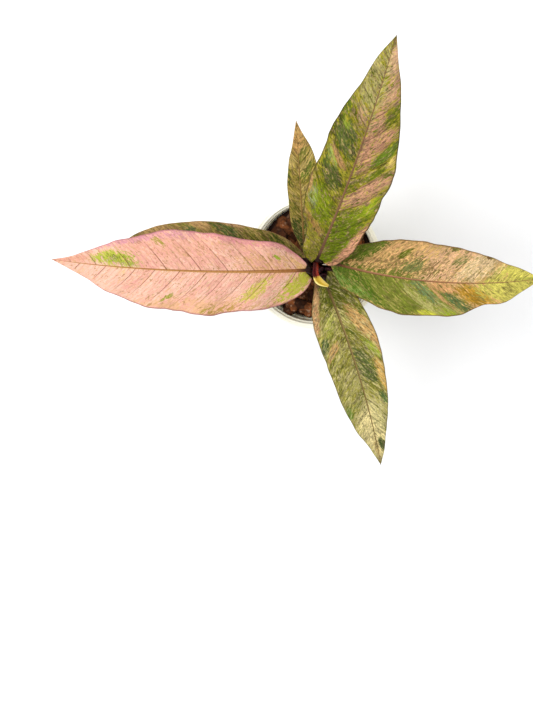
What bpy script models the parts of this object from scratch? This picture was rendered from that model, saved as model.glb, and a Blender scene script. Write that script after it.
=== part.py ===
# Potted anthurium: a white nursery pot filled with bark, and one plant with six spreading leaves.
# Metres, +Z up, the pot stands on Z = 0 with its axis on the origin. Lengths in the tables are in mm.

import math
import random

import bmesh
import bpy
from mathutils import Matrix, Vector

MM = 0.001
COLLECTION = "potted_anthurium"

# Pot, as radius and height along a half section: floor, inner wall, lip, collar, outer wall, foot
POT_SEGMENTS = 40
POT_PROFILE = (
    (0, 2.0), (12.6, 2.0), (14.6, 3.9), (35.2, 3.9), (46.2, 80.4), (46.9, 81.2),
    (47.1, 85.2), (47.8, 86.0), (48.1, 89.4), (48.7, 90.0), (51.4, 90.0), (52.0, 89.4),
    (50.9, 75.8), (50.2, 75.2), (47.4, 75.2), (36.9, 0.8), (36.2, 0), (30.8, 0),
    (29.4, 2.0), (14.2, 2.0), (12.8, 0), (0, 0),
)
DRAIN_COUNT = 6
DRAIN_RADIUS = 2.6
DRAIN_CIRCLE = 22.0
DRAIN_SIDES = 10

# Growing mix: packed body with a loose top layer of bark chips
MIX_SEGMENTS = 32
MIX_PROFILE = ((0, 74.0), (22, 73.6), (38, 72.8), (44.4, 71.6), (34.7, 4.4), (0, 4.4))
CHIP_COUNT = 66
CHIP_LENGTH = (8.0, 15.0)
CHIP_WIDTH = (6.0, 9.5)
CHIP_HEIGHT = (4.0, 6.0)
CHIP_LEVEL = 74.4
CHIP_REACH = 44.2
CHIP_SINK = 1.6
CHIP_SEED = 11
CHIP_FACES = (
    (0, 1, 3), (0, 3, 2), (4, 6, 7), (4, 7, 5), (0, 4, 5), (0, 5, 1),
    (2, 3, 7), (2, 7, 6), (0, 2, 6), (0, 6, 4), (1, 5, 7), (1, 7, 3),
)

# Stem: a short upright crown, set off the pot's axis
CROWN = (5.5, -1.5)
STEM_SEGMENTS = 20
STEM_PROFILE = (
    (0, 101.0), (9.3, 101.0), (10.2, 99.8), (10.5, 96.4), (10.1, 95.4), (10.6, 94.0),
    (10.4, 89.6), (9.9, 88.6), (10.3, 87.2), (9.8, 80.0), (9.0, 70.0), (8.2, 62.0), (0, 61.4),
)
STEM_CLEARANCE = 0.4
SOCKET_FLOOR = 91.4
SOCKET_SIDES = 12

# Petioles: round stalks that stand in the crown and swell a little below the blade
PETIOLE_FOOT = 92.0
PETIOLE_RADIUS = 2.2
PETIOLE_WAIST = 1.9
PETIOLE_KNEE = 2.35
PETIOLE_TOP = 2.0
SOCKET_RADIUS = 2.62
PETIOLE_RINGS = 7
KNEE_LENGTH = 3.2
PETIOLE_STRAIGHT = 10.0
PETIOLE_GAP = 1.5
PETIOLE_STAGES = (0, 0.45, 0.8, 1)

# Blades: half widths are given at these shares of the blade's length
STATIONS = (0, 0.06, 0.14, 0.23, 0.32, 0.42, 0.52, 0.62, 0.72, 0.82, 0.91, 1)
BLADE_COLUMNS = (1, 0.7, 0.36)
BLADE_THICKNESS = 0.8
RIB_WIDTH = (1.7, 0.5)
RIB_DEPTH = (2.0, 0.3)
RIB_SHARE = 0.25
RIB_SECTION = (0, 0, 0, 0.6, 1, 0.6, 0, 0, 0)
LOBE_REACH = 0.3
LEAST_WIDTH = 0.9
WAVE_FULL_WIDTH = 12.0
LAST_RING = 0.985
MIDRIB_STEPS = 240

# Each leaf: foot is its bearing round the crown, base the blade's first point, heading the way it
# points, rise and fall its slope at base and tip, fold the upward slope of each half at the midrib
LEAVES = {
    "leaf_left_long": dict(
        foot=205, circle=6.4, base=(-3.2, 0.9, 140), heading=178, sweep=-4, length=196,
        rise=22, fall=-22, fold=0.22, curl=-0.05, lobe=(5, 1.5), wave=2.0, waves=5.5,
        phase_left=0.1, phase_right=0.45, rings=32,
        left=(10, 20.5, 27, 28.5, 31, 31.5, 29, 27, 20.5, 13, 5.5, 0),
        right=(5.5, 12, 19, 23.5, 27.5, 29, 30, 24.5, 19.5, 11.5, 4.5, 0)),
    "leaf_back_right_tall": dict(
        foot=55, circle=6.4, base=(7, 11.5, 146), heading=70, sweep=8, length=184,
        rise=44, fall=6, fold=0.38, curl=0.05, lobe=(9, 9), wave=2.5, waves=5,
        phase_left=0, phase_right=0.5, rings=32,
        left=(4.5, 12, 15.5, 21.5, 25, 25.5, 23.5, 23, 18.5, 12.5, 8, 0),
        right=(9, 17, 21, 23.5, 25.5, 26.5, 28, 24, 19.5, 13.5, 6.5, 0)),
    "leaf_right": dict(
        foot=5, circle=6.4, base=(17, 6, 136), heading=-4, sweep=17.5, length=157.5,
        rise=24, fall=-26, fold=0.25, curl=-0.1, lobe=(6, 2), wave=2.0, waves=4.5,
        phase_left=0.2, phase_right=0.7, rings=28,
        left=(8, 14, 19, 25, 27.5, 28.5, 27, 24.5, 20.5, 14, 8, 0),
        right=(2.5, 13, 18, 23, 25.5, 26, 24.5, 23, 16, 14, 7.5, 0)),
    "leaf_front": dict(
        foot=-45, circle=6.4, base=(10.8, -8.6, 129), heading=-73.5, sweep=-17, length=156,
        rise=20, fall=-28, fold=0.35, curl=-0.05, lobe=(6, 6), wave=1.6, waves=4.5,
        phase_left=0.3, phase_right=0.8, rings=28,
        left=(8, 14, 18, 21, 22, 21.5, 19, 16.5, 12.5, 8, 4.5, 0),
        right=(7, 11, 18, 21, 20.5, 20.5, 19, 18, 14.5, 9.5, 4.5, 0)),
    "leaf_back_small": dict(
        foot=105, circle=6.4, base=(-5.5, 16, 118), heading=92, sweep=3.5, length=101,
        rise=36, fall=2, fold=0.35, curl=0, lobe=(3, 3), wave=1.2, waves=3.5,
        phase_left=0.3, phase_right=0.8, rings=22,
        left=(2.5, 4, 7, 8.5, 9, 9.2, 9.4, 8.5, 7, 4, 2, 0),
        right=(3.5, 7, 10, 11.5, 13, 14, 14.5, 14, 12.5, 9, 4, 0)),
    "leaf_left_low": dict(
        foot=155, circle=6.4, base=(-6, 6.5, 122), heading=176, sweep=27, length=144,
        rise=14, fall=-20, fold=0.25, curl=-0.05, lobe=(2, 2), wave=1.5, waves=4.5,
        phase_left=0.5, phase_right=0.1, rings=26,
        left=(3, 8.5, 13.5, 15.5, 17, 16.5, 16, 13.5, 11.5, 7.5, 4.5, 0),
        right=(2.5, 8, 13, 15, 15.5, 16, 16, 14.5, 13, 10, 6, 0)),
}

# Shoot and old sheath: path points with half width across and half depth, both stand in the crown
SHOOT_PATH = (
    ((5.5, -1.5, 92), 2.1, 2.1), ((5.5, -1.5, 102), 2.1, 2.1), ((4.6, 1.4, 113), 2.0, 1.8),
    ((3.7, 4.0, 125), 1.9, 1.5), ((4.2, 2.4, 134), 1.9, 1.4), ((4.8, -2.7, 141), 2.1, 1.5),
    ((8.0, -6.6, 145.5), 2.2, 1.4), ((14.8, -9.6, 147), 0.5, 0.5),
)
SHEATH_PATH = (
    ((4.9, -7.9, 92), 2.0, 2.0), ((4.9, -7.9, 102), 2.0, 2.0), ((5.0, -6.6, 111), 2.2, 1.4),
    ((5.2, -3.4, 120), 1.9, 1.2), ((7.4, -0.2, 128), 1.8, 0.9), ((9.4, 2.4, 132.6), 0.5, 0.5),
)
STRAP_RINGS = 13
STRAP_SIDES = 10

# Colour as linear RGB, roughness
MATERIALS = {
    "ivory_plastic": ((0.87, 0.88, 0.80), 0.35),
    "bark": ((0.10, 0.045, 0.025), 0.9),
    "stem_tissue": ((0.09, 0.07, 0.035), 0.7),
    "leaf_tissue_pink": ((0.62, 0.30, 0.25), 0.45),
    "leaf_tissue_green": ((0.14, 0.17, 0.05), 0.45),
    "shoot_tissue": ((0.22, 0.03, 0.04), 0.4),
    "dry_sheath": ((0.08, 0.035, 0.035), 0.7),
}


def clear_scene():
    for obj in list(bpy.data.objects):
        bpy.data.objects.remove(obj, do_unlink=True)


def new_collection(name):
    collection = bpy.data.collections.new(name)
    bpy.context.scene.collection.children.link(collection)
    return collection


def make_material(name):
    colour, roughness = MATERIALS[name]
    material = bpy.data.materials.new(name)
    material.use_nodes = True
    shader = material.node_tree.nodes["Principled BSDF"]
    shader.inputs["Base Color"].default_value = (*colour, 1)
    shader.inputs["Roughness"].default_value = roughness
    shader.inputs["Metallic"].default_value = 0
    return material


def new_object(name, verts, faces, collection, edges=()):
    mesh = bpy.data.meshes.new(name)
    mesh.from_pydata([tuple(c * MM for c in v) for v in verts], edges, faces)
    mesh.update()
    obj = bpy.data.objects.new(name, mesh)
    collection.objects.link(obj)
    return obj


def apply_modifiers(obj):
    graph = bpy.context.evaluated_depsgraph_get()
    graph.update()
    mesh = bpy.data.meshes.new_from_object(obj.evaluated_get(graph))
    obj.modifiers.clear()
    obj.data = mesh


def turned(name, profile, segments, collection, centre=(0, 0)):
    verts = [(r, 0, z) for r, z in profile]
    edges = [(i, i + 1) for i in range(len(verts) - 1)]
    obj = new_object(name, verts, [], collection, edges)
    screw = obj.modifiers.new("turn", "SCREW")
    screw.axis = "Z"
    screw.steps = screw.render_steps = segments
    screw.use_merge_vertices = True
    screw.merge_threshold = 0.00001
    screw.use_smooth_shade = False
    apply_modifiers(obj)
    obj.data.transform(translation(centre[0], centre[1], 0))
    return obj


def translation(x, y, z):
    return Matrix.Translation((x * MM, y * MM, z * MM))


def rod_cutter(name, centre, radius, low, high, sides, collection):
    mesh = bpy.data.meshes.new(name)
    bm = bmesh.new()
    bmesh.ops.create_cone(bm, cap_ends=True, segments=sides, radius1=radius * MM,
                          radius2=radius * MM, depth=(high - low) * MM)
    bmesh.ops.translate(bm, verts=bm.verts, vec=Vector((*centre, (high + low) / 2)) * MM)
    bm.to_mesh(mesh)
    bm.free()
    obj = bpy.data.objects.new(name, mesh)
    obj.hide_render = True
    obj.display_type = "WIRE"
    collection.objects.link(obj)
    return obj


def combine(obj, tools, operation, solver="EXACT"):
    cut = obj.modifiers.new(operation.lower(), "BOOLEAN")
    cut.operation = operation
    cut.operand_type = "COLLECTION"
    cut.collection = tools
    cut.solver = solver
    apply_modifiers(obj)
    for tool in list(tools.objects):
        bpy.data.objects.remove(tool, do_unlink=True)


def round_crown(bearing, circle):
    angle = math.radians(bearing)
    return CROWN[0] + circle * math.cos(angle), CROWN[1] + circle * math.sin(angle)


def smooth_value(x, xs, ys):
    """Value at x of a smooth curve through the points xs, ys."""
    steps = [b - a for a, b in zip(xs, xs[1:])]
    slopes = [(b - a) / h for a, b, h in zip(ys, ys[1:], steps)]
    i = max(j for j in range(len(steps)) if xs[j] <= x or j == 0)

    def tangent(j):
        if j == 0 or j == len(xs) - 1:
            return slopes[min(j, len(slopes) - 1)]
        before, after = steps[j - 1], steps[j]
        return (slopes[j - 1] * after + slopes[j] * before) / (before + after)

    h = steps[i]
    s = (x - xs[i]) / h
    return ((2 * s**3 - 3 * s**2 + 1) * ys[i] + (s**3 - 2 * s**2 + s) * h * tangent(i)
            + (3 * s**2 - 2 * s**3) * ys[i + 1] + (s**3 - s**2) * h * tangent(i + 1))


def blade_frame(leaf, t):
    """Direction along the midrib, to the left side, and up, at share t of the length."""
    heading = math.radians(leaf["heading"] + leaf["sweep"] * (t - 0.5))
    pitch = math.radians(leaf["rise"] + (leaf["fall"] - leaf["rise"]) * t)
    along = Vector((math.cos(pitch) * math.cos(heading), math.cos(pitch) * math.sin(heading),
                    math.sin(pitch)))
    left = Vector((-math.sin(heading), math.cos(heading), 0))
    return along, left, along.cross(left)


def half_width(leaf, side, t):
    return max(smooth_value(t, STATIONS, leaf[side]), LEAST_WIDTH)


def midrib_points(leaf, shares):
    """Points of the midrib at the given rising shares, by adding up short steps."""
    point = Vector(leaf["base"])
    table = [point.copy()]
    for i in range(MIDRIB_STEPS):
        along, _, _ = blade_frame(leaf, (i + 0.5) / MIDRIB_STEPS)
        point = point + along * (leaf["length"] / MIDRIB_STEPS)
        table.append(point.copy())
    points = []
    for t in shares:
        i = min(int(t * MIDRIB_STEPS), MIDRIB_STEPS - 1)
        points.append(table[i].lerp(table[i + 1], t * MIDRIB_STEPS - i))
    return points


def blade_point(leaf, t, u, middle, frame, drop):
    """Point of the blade at share t along and u across (1 left margin, -1 right), lowered by drop."""
    along, left, up = frame
    side = "left" if u >= 0 else "right"
    a = abs(u)
    width = half_width(leaf, side, t)
    lift = width * (leaf["fold"] * a + (leaf["curl"] - leaf["fold"]) * a * a / 2)
    ripple = math.sin(2 * math.pi * (leaf["waves"] * t + leaf["phase_" + side]))
    lift += leaf["wave"] * ripple * a * a * min(width / WAVE_FULL_WIDTH, 1)
    reach = leaf["lobe"][0 if u >= 0 else 1]
    back = reach * max(1 - t / LOBE_REACH, 0) ** 2 * a**1.5
    return middle + left * (width * u) + up * (lift - drop) - along * back


def blade_ring(leaf, t, middle):
    """Closed ring round the blade at share t: nine points above, nine below."""
    frame = blade_frame(leaf, t)
    rib_half = RIB_WIDTH[0] + (RIB_WIDTH[1] - RIB_WIDTH[0]) * t
    rib_deep = RIB_DEPTH[0] + (RIB_DEPTH[1] - RIB_DEPTH[0]) * t
    rib_left = min(rib_half / half_width(leaf, "left", t), RIB_SHARE)
    rib_right = min(rib_half / half_width(leaf, "right", t), RIB_SHARE)
    outer = [-c for c in reversed(BLADE_COLUMNS)]
    across = [*BLADE_COLUMNS, rib_left, 0, -rib_right, *outer]
    half = BLADE_THICKNESS / 2
    above = [blade_point(leaf, t, u, middle, frame, -half) for u in across]
    below = []
    for index, u in enumerate(across):
        deep = half + rib_deep * RIB_SECTION[index]
        below.append(blade_point(leaf, t, u, middle, frame, deep))
    return above + below[::-1]


def round_ring(centre, along, left, radius, depth=None, sides=18):
    """Ring of points round a stalk, starting just above its left side."""
    along = along.normalized()
    left = (left - along * left.dot(along)).normalized()
    up = along.cross(left)
    ring = []
    for k in range(sides):
        angle = math.pi * (2 * k + 1) / sides
        ring.append(centre + left * (radius * math.cos(angle))
                    + up * ((depth or radius) * math.sin(angle)))
    return ring


def petiole_rings(leaf):
    """Rings from the stalk's foot in the crown up to just before the blade."""
    foot = Vector((*round_crown(leaf["foot"], leaf["circle"]), PETIOLE_FOOT))
    along, left, _ = blade_frame(leaf, 0)
    rings = [round_ring(foot, Vector((0, 0, 1)), left, PETIOLE_RADIUS)]
    low = foot + Vector((0, 0, PETIOLE_STRAIGHT))
    high = Vector(leaf["base"]) - along * PETIOLE_GAP
    reach = (high - low).length
    one = low + Vector((0, 0, reach * 0.4))
    two = high - along * KNEE_LENGTH
    for i in range(PETIOLE_RINGS - 1):
        s = i / (PETIOLE_RINGS - 2)
        point = (low * (1 - s) ** 3 + one * (3 * s * (1 - s) ** 2)
                 + two * (3 * s * s * (1 - s)) + high * s**3)
        way = ((one - low) * (1 - s) ** 2 + (two - one) * (2 * s * (1 - s))
               + (high - two) * s * s)
        radius = smooth_value(s, PETIOLE_STAGES,
                              (PETIOLE_RADIUS, PETIOLE_WAIST, PETIOLE_KNEE, PETIOLE_TOP))
        rings.append(round_ring(point, way, left, radius))
    return rings


def loft(name, rings, tip, collection):
    """Closed body through rings of equal count, with a fan at each end."""
    count = len(rings[0])
    half = count // 2
    verts = [p for ring in rings for p in ring]
    faces = []
    for i in range(len(rings) - 1):
        for k in range(count):
            n = (k + 1) % count
            a, b = i * count + k, i * count + n
            c, d = a + count, b + count
            if k < half:
                faces += [(a, d, b), (a, c, d)]
            else:
                faces += [(a, c, b), (b, c, d)]
    foot = len(verts)
    verts.append(sum(rings[0], Vector()) / count)
    verts.append(tip)
    last = (len(rings) - 1) * count
    for k in range(count):
        n = (k + 1) % count
        faces.append((foot, k, n))
        faces.append((last + n, last + k, foot + 1))
    return new_object(name, verts, faces, collection)


def make_leaf(name, leaf, collection):
    count = leaf["rings"]
    shares = [LAST_RING * i / (count - 1) for i in range(count)]
    points = midrib_points(leaf, shares + [1.0])
    rings = petiole_rings(leaf)
    rings += [blade_ring(leaf, t, p) for t, p in zip(shares, points)]
    return loft(name, rings, points[-1], collection)


def path_value(path, s):
    """Point and half sizes at share s of a path of control points."""
    knots = [i / (len(path) - 1) for i in range(len(path))]
    point = Vector([smooth_value(s, knots, [p[0][axis] for p in path]) for axis in range(3)])
    return point, smooth_value(s, knots, [p[1] for p in path]), smooth_value(
        s, knots, [p[2] for p in path])


def make_strap(name, path, collection):
    """Flattened tapering body along a path, its broad side kept level."""
    rings = []
    for i in range(STRAP_RINGS):
        s = i / (STRAP_RINGS - 1)
        here, wide, deep = path_value(path, s)
        before = path_value(path, max(s - 0.01, 0))[0]
        after = path_value(path, min(s + 0.01, 1))[0]
        rings.append(round_ring(here, after - before, Vector((1, 0, 0)), wide, deep, STRAP_SIDES))
    end = path_value(path, 1)[0] + (rings[-1][0] - rings[-2][0]).normalized() * 0.4
    return loft(name, rings, end, collection)


def make_pot(collection, tools):
    pot = turned("pot", POT_PROFILE, POT_SEGMENTS, collection)
    for k in range(DRAIN_COUNT):
        angle = 2 * math.pi * (k + 0.5) / DRAIN_COUNT
        centre = (DRAIN_CIRCLE * math.cos(angle), DRAIN_CIRCLE * math.sin(angle))
        rod_cutter("drain", centre, DRAIN_RADIUS, -2, 8, DRAIN_SIDES, tools)
    combine(pot, tools, "DIFFERENCE")
    return pot


def make_chip(draw, tools):
    """One bark chip: a rough block, lying nearly flat and sunk in the packed mix."""
    size = [draw.uniform(*CHIP_LENGTH), draw.uniform(*CHIP_WIDTH), draw.uniform(*CHIP_HEIGHT)]
    reach = CHIP_REACH - math.hypot(size[0], size[1]) / 2
    distance = reach * math.sqrt(draw.random())
    bearing = draw.uniform(0, 2 * math.pi)
    turn = draw.uniform(0, math.pi)
    tilt = draw.uniform(-0.25, 0.25)
    middle = Vector((distance * math.cos(bearing), distance * math.sin(bearing),
                     CHIP_LEVEL + draw.uniform(-1.2, 0.6)))
    verts = []
    for sx, sy, sz in ((x, y, z) for x in (-1, 1) for y in (-1, 1) for z in (-1, 1)):
        shrink = 0.8 if sz > 0 else 1.0
        x = sx * size[0] / 2 * shrink * draw.uniform(0.82, 1)
        y = sy * size[1] / 2 * shrink * draw.uniform(0.82, 1)
        z = sz * size[2] / 2 * draw.uniform(0.85, 1) + x * tilt - (CHIP_SINK if sz < 0 else 0)
        verts.append(middle + Vector((x * math.cos(turn) - y * math.sin(turn),
                                      x * math.sin(turn) + y * math.cos(turn), z)))
    new_object("chip", verts, CHIP_FACES, tools)


def make_mix(collection, tools):
    mix = turned("growing_mix", MIX_PROFILE, MIX_SEGMENTS, collection)
    draw = random.Random(CHIP_SEED)
    for _ in range(CHIP_COUNT):
        make_chip(draw, tools)
    combine(mix, tools, "UNION")
    radius = max(r for r, _ in STEM_PROFILE) + STEM_CLEARANCE
    low = STEM_PROFILE[-1][1] - STEM_CLEARANCE
    rod_cutter("stem_hole", CROWN, radius, low, 95, STEM_SEGMENTS, tools)
    combine(mix, tools, "DIFFERENCE")
    return mix


def make_stem(collection, tools):
    stem = turned("stem", STEM_PROFILE, STEM_SEGMENTS, collection, CROWN)
    feet = [round_crown(leaf["foot"], leaf["circle"]) for leaf in LEAVES.values()]
    feet += [SHOOT_PATH[0][0][:2], SHEATH_PATH[0][0][:2]]
    for centre in feet:
        rod_cutter("socket", centre, SOCKET_RADIUS, SOCKET_FLOOR, 110, SOCKET_SIDES, tools)
    combine(stem, tools, "DIFFERENCE")
    return stem


def finish(obj, material):
    """Triangles all over, outward normals, one material."""
    bm = bmesh.new()
    bm.from_mesh(obj.data)
    bmesh.ops.remove_doubles(bm, verts=bm.verts, dist=0.00001)
    bmesh.ops.dissolve_degenerate(bm, edges=bm.edges, dist=0.00001)
    bmesh.ops.triangulate(bm, faces=bm.faces)
    bmesh.ops.recalc_face_normals(bm, faces=bm.faces)
    bm.to_mesh(obj.data)
    bm.free()
    obj.data.materials.clear()
    obj.data.materials.append(material)


def main():
    clear_scene()
    collection = new_collection(COLLECTION)
    tools = new_collection("cutters")
    materials = {name: make_material(name) for name in MATERIALS}
    finish(make_pot(collection, tools), materials["ivory_plastic"])
    finish(make_mix(collection, tools), materials["bark"])
    finish(make_stem(collection, tools), materials["stem_tissue"])
    for name, leaf in LEAVES.items():
        tissue = "leaf_tissue_pink" if name == "leaf_left_long" else "leaf_tissue_green"
        finish(make_leaf(name, leaf, collection), materials[tissue])
    finish(make_strap("new_shoot", SHOOT_PATH, collection), materials["shoot_tissue"])
    finish(make_strap("old_sheath", SHEATH_PATH, collection), materials["dry_sheath"])


if __name__ == "__main__":
    main()
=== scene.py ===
"""Potted anthurium, dressed for the camera: detailed leaves, bark mix, pot and studio."""
import math
import random

import bmesh
import bpy
from bpy.props import FloatProperty, FloatVectorProperty, IntProperty, PointerProperty
from mathutils import Matrix, Vector, noise


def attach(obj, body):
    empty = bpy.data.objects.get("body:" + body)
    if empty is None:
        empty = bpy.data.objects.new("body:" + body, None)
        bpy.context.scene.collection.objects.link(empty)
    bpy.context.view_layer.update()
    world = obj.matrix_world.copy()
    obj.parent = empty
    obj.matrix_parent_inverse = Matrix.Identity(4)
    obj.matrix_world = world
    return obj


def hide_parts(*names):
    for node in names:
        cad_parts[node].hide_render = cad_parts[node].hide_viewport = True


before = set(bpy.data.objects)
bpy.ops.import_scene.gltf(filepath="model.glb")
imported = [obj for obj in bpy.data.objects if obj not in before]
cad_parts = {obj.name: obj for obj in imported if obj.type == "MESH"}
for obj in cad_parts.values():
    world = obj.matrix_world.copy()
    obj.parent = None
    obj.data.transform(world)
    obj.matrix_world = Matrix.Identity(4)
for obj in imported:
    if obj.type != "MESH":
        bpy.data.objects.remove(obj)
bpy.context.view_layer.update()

bl_info = {
    "name": "Potted anthurium",
    "version": (1, 0, 0),
    "blender": (4, 5, 0),
    "location": "3D View > Sidebar > Anthurium",
    "description": "Builds the detailed leaves, bark, pot and studio of a potted anthurium",
    "category": "Object",
}

MM = 0.001

# Photograph and camera: the pot's rim is found at this pixel, seen from almost straight above
IMAGE_SIZE = (533, 702)
RIM_PIXEL = (314.14, 262.59)
RIM_RADIUS_PIXELS = 66.94
RIM_DIAMETER = 104 * MM
RIM_HEIGHT = 90 * MM
CAMERA_DISTANCE = 1.0
CAMERA_TILT = math.radians(8.5)
CAMERA_BEARING = math.radians(62)
SENSOR_MM = 36.0

# Studio: one large soft light from the left and a pale sky
KEY_SIZE = 1.1
KEY_PLACE = (-0.65, 0.3, 1.35)
KEY_AIM = Vector((0, 0, 0.12))
SKY_COLOUR = "#F9FAFB"

# Pot section as radius and height in mm: floor, inner wall, steps, lip, collar, outer wall, foot
POT_PROFILE = (
    (0, 2.0), (12.6, 2.0), (14.6, 3.9), (34.6, 3.9), (35.2, 4.5), (45.2, 73.5), (45.5, 80.2),
    (45.6, 80.6), (46.5, 81.0), (46.6, 81.4), (46.7, 87.0), (46.8, 87.4), (47.9, 87.7),
    (48.0, 88.0), (48.2, 89.4), (48.4, 89.8), (48.8, 90.0), (49.6, 90.0), (49.8, 89.8),
    (50.1, 89.8), (50.3, 90.0), (51.2, 90.0), (51.7, 89.8), (52.0, 89.3), (50.95, 76.2),
    (50.7, 75.5), (50.2, 75.2), (47.8, 75.2), (47.4, 74.8), (36.95, 1.2), (36.7, 0.4), (36.2, 0),
    (30.8, 0), (30.2, 0.4), (29.4, 2.0), (14.2, 2.0), (13.4, 0.4), (12.8, 0), (0, 0),
)
STEP_RADII = (46.6, 48.1)
DRAIN_COUNT = 6
DRAIN_RADIUS = 2.6
DRAIN_CIRCLE = 22.0
DRAIN_SIDES = 24
DRAIN_DEPTH = 10.0
SHARP_ANGLE = math.radians(60)

# Growing mix and stem. The mix is heaped up at the wall, most of all on two of its sides
MIX_PROFILE = (
    (0, 72.6), (22, 72.2), (38, 71.4), (43.6, 70.6), (44.4, 69.6), (34.9, 5.2), (34.2, 4.4),
    (0, 4.4),
)
WALL_HEAP = 6.5
SIDE_HEAP = 4.0
CROWN = Vector((5.5, -1.5))
STEM_HOLE = 11.0
STEM_KNOT = 0.0005
STEM_SINK = 0.0003

# Bark chips: ranges of size, how far out and how high they lie, and how close together. One
# more leans on the wall. The shifts part the noise that bends a chip along its three axes.
CHIP_LENGTH = (9, 19)
CHIP_WIDTH = (7, 12)
CHIP_HEIGHT = (4.5, 8)
CHIP_REACH = 45.4
CHIP_LEVEL = 73.2
CHIP_SPREAD = (-1.4, 1.2)
CHIP_LIFT = 1.6
CHIP_CLOSE = 6.0
CHIP_LEAN = 0.45
WALL_CHIP = Vector((-17.6, -37.6))
WALL_CHIP_LEVEL = 82.0
WALL_CHIP_SIZE = (14, 8, 6)
CHIP_SHIFTS = (Vector((0, 0, 0)), Vector((9.3, 4.1, 7.7)), Vector((3.9, 8.5, 14.3)))
STEM_PROFILE = (
    (0, 101.0), (6.0, 101.1), (9.0, 100.8), (10.1, 99.8), (10.5, 97.6), (10.4, 96.4), (10.0, 95.6),
    (10.5, 94.4), (10.6, 92.0), (10.3, 89.6), (9.8, 88.8), (10.2, 87.6), (10.2, 84.0), (9.6, 83.0),
    (9.9, 81.6), (9.6, 76.0), (9.0, 70.0), (8.2, 62.2), (7.6, 61.4), (0, 61.4),
)

# Leaves: the same bearings and sizes as the solids have, and outlines within a few mm of theirs
STATIONS = (0, 0.06, 0.14, 0.23, 0.32, 0.42, 0.52, 0.62, 0.72, 0.82, 0.91, 1)
LOBE_REACH = 0.3
WAVE_FULL_WIDTH = 12.0
MIDRIB_STEPS = 240
PETIOLE_FOOT = 92.0
PETIOLE_STRAIGHT = 10.0
PETIOLE_GAP = 1.5
KNEE_LENGTH = 3.2
PETIOLE_BURIED = 9.0
PETIOLE_STAGES = (0, 0.45, 0.8, 1)
PETIOLE_RADII = (2.2, 1.9, 2.35, 2.0)
PETIOLE_MESH = (40, 20)
STRAP_MESH = (64, 28)
LONG_LEAF = 120
RIB_WIDTH = (1.7, 0.5)
RIB_DEPTH = (2.0, 0.3)
VEIN_CURVE = 0.25
FINE_VEINS = 5.0
PATCH_REACH = 1.55

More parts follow.
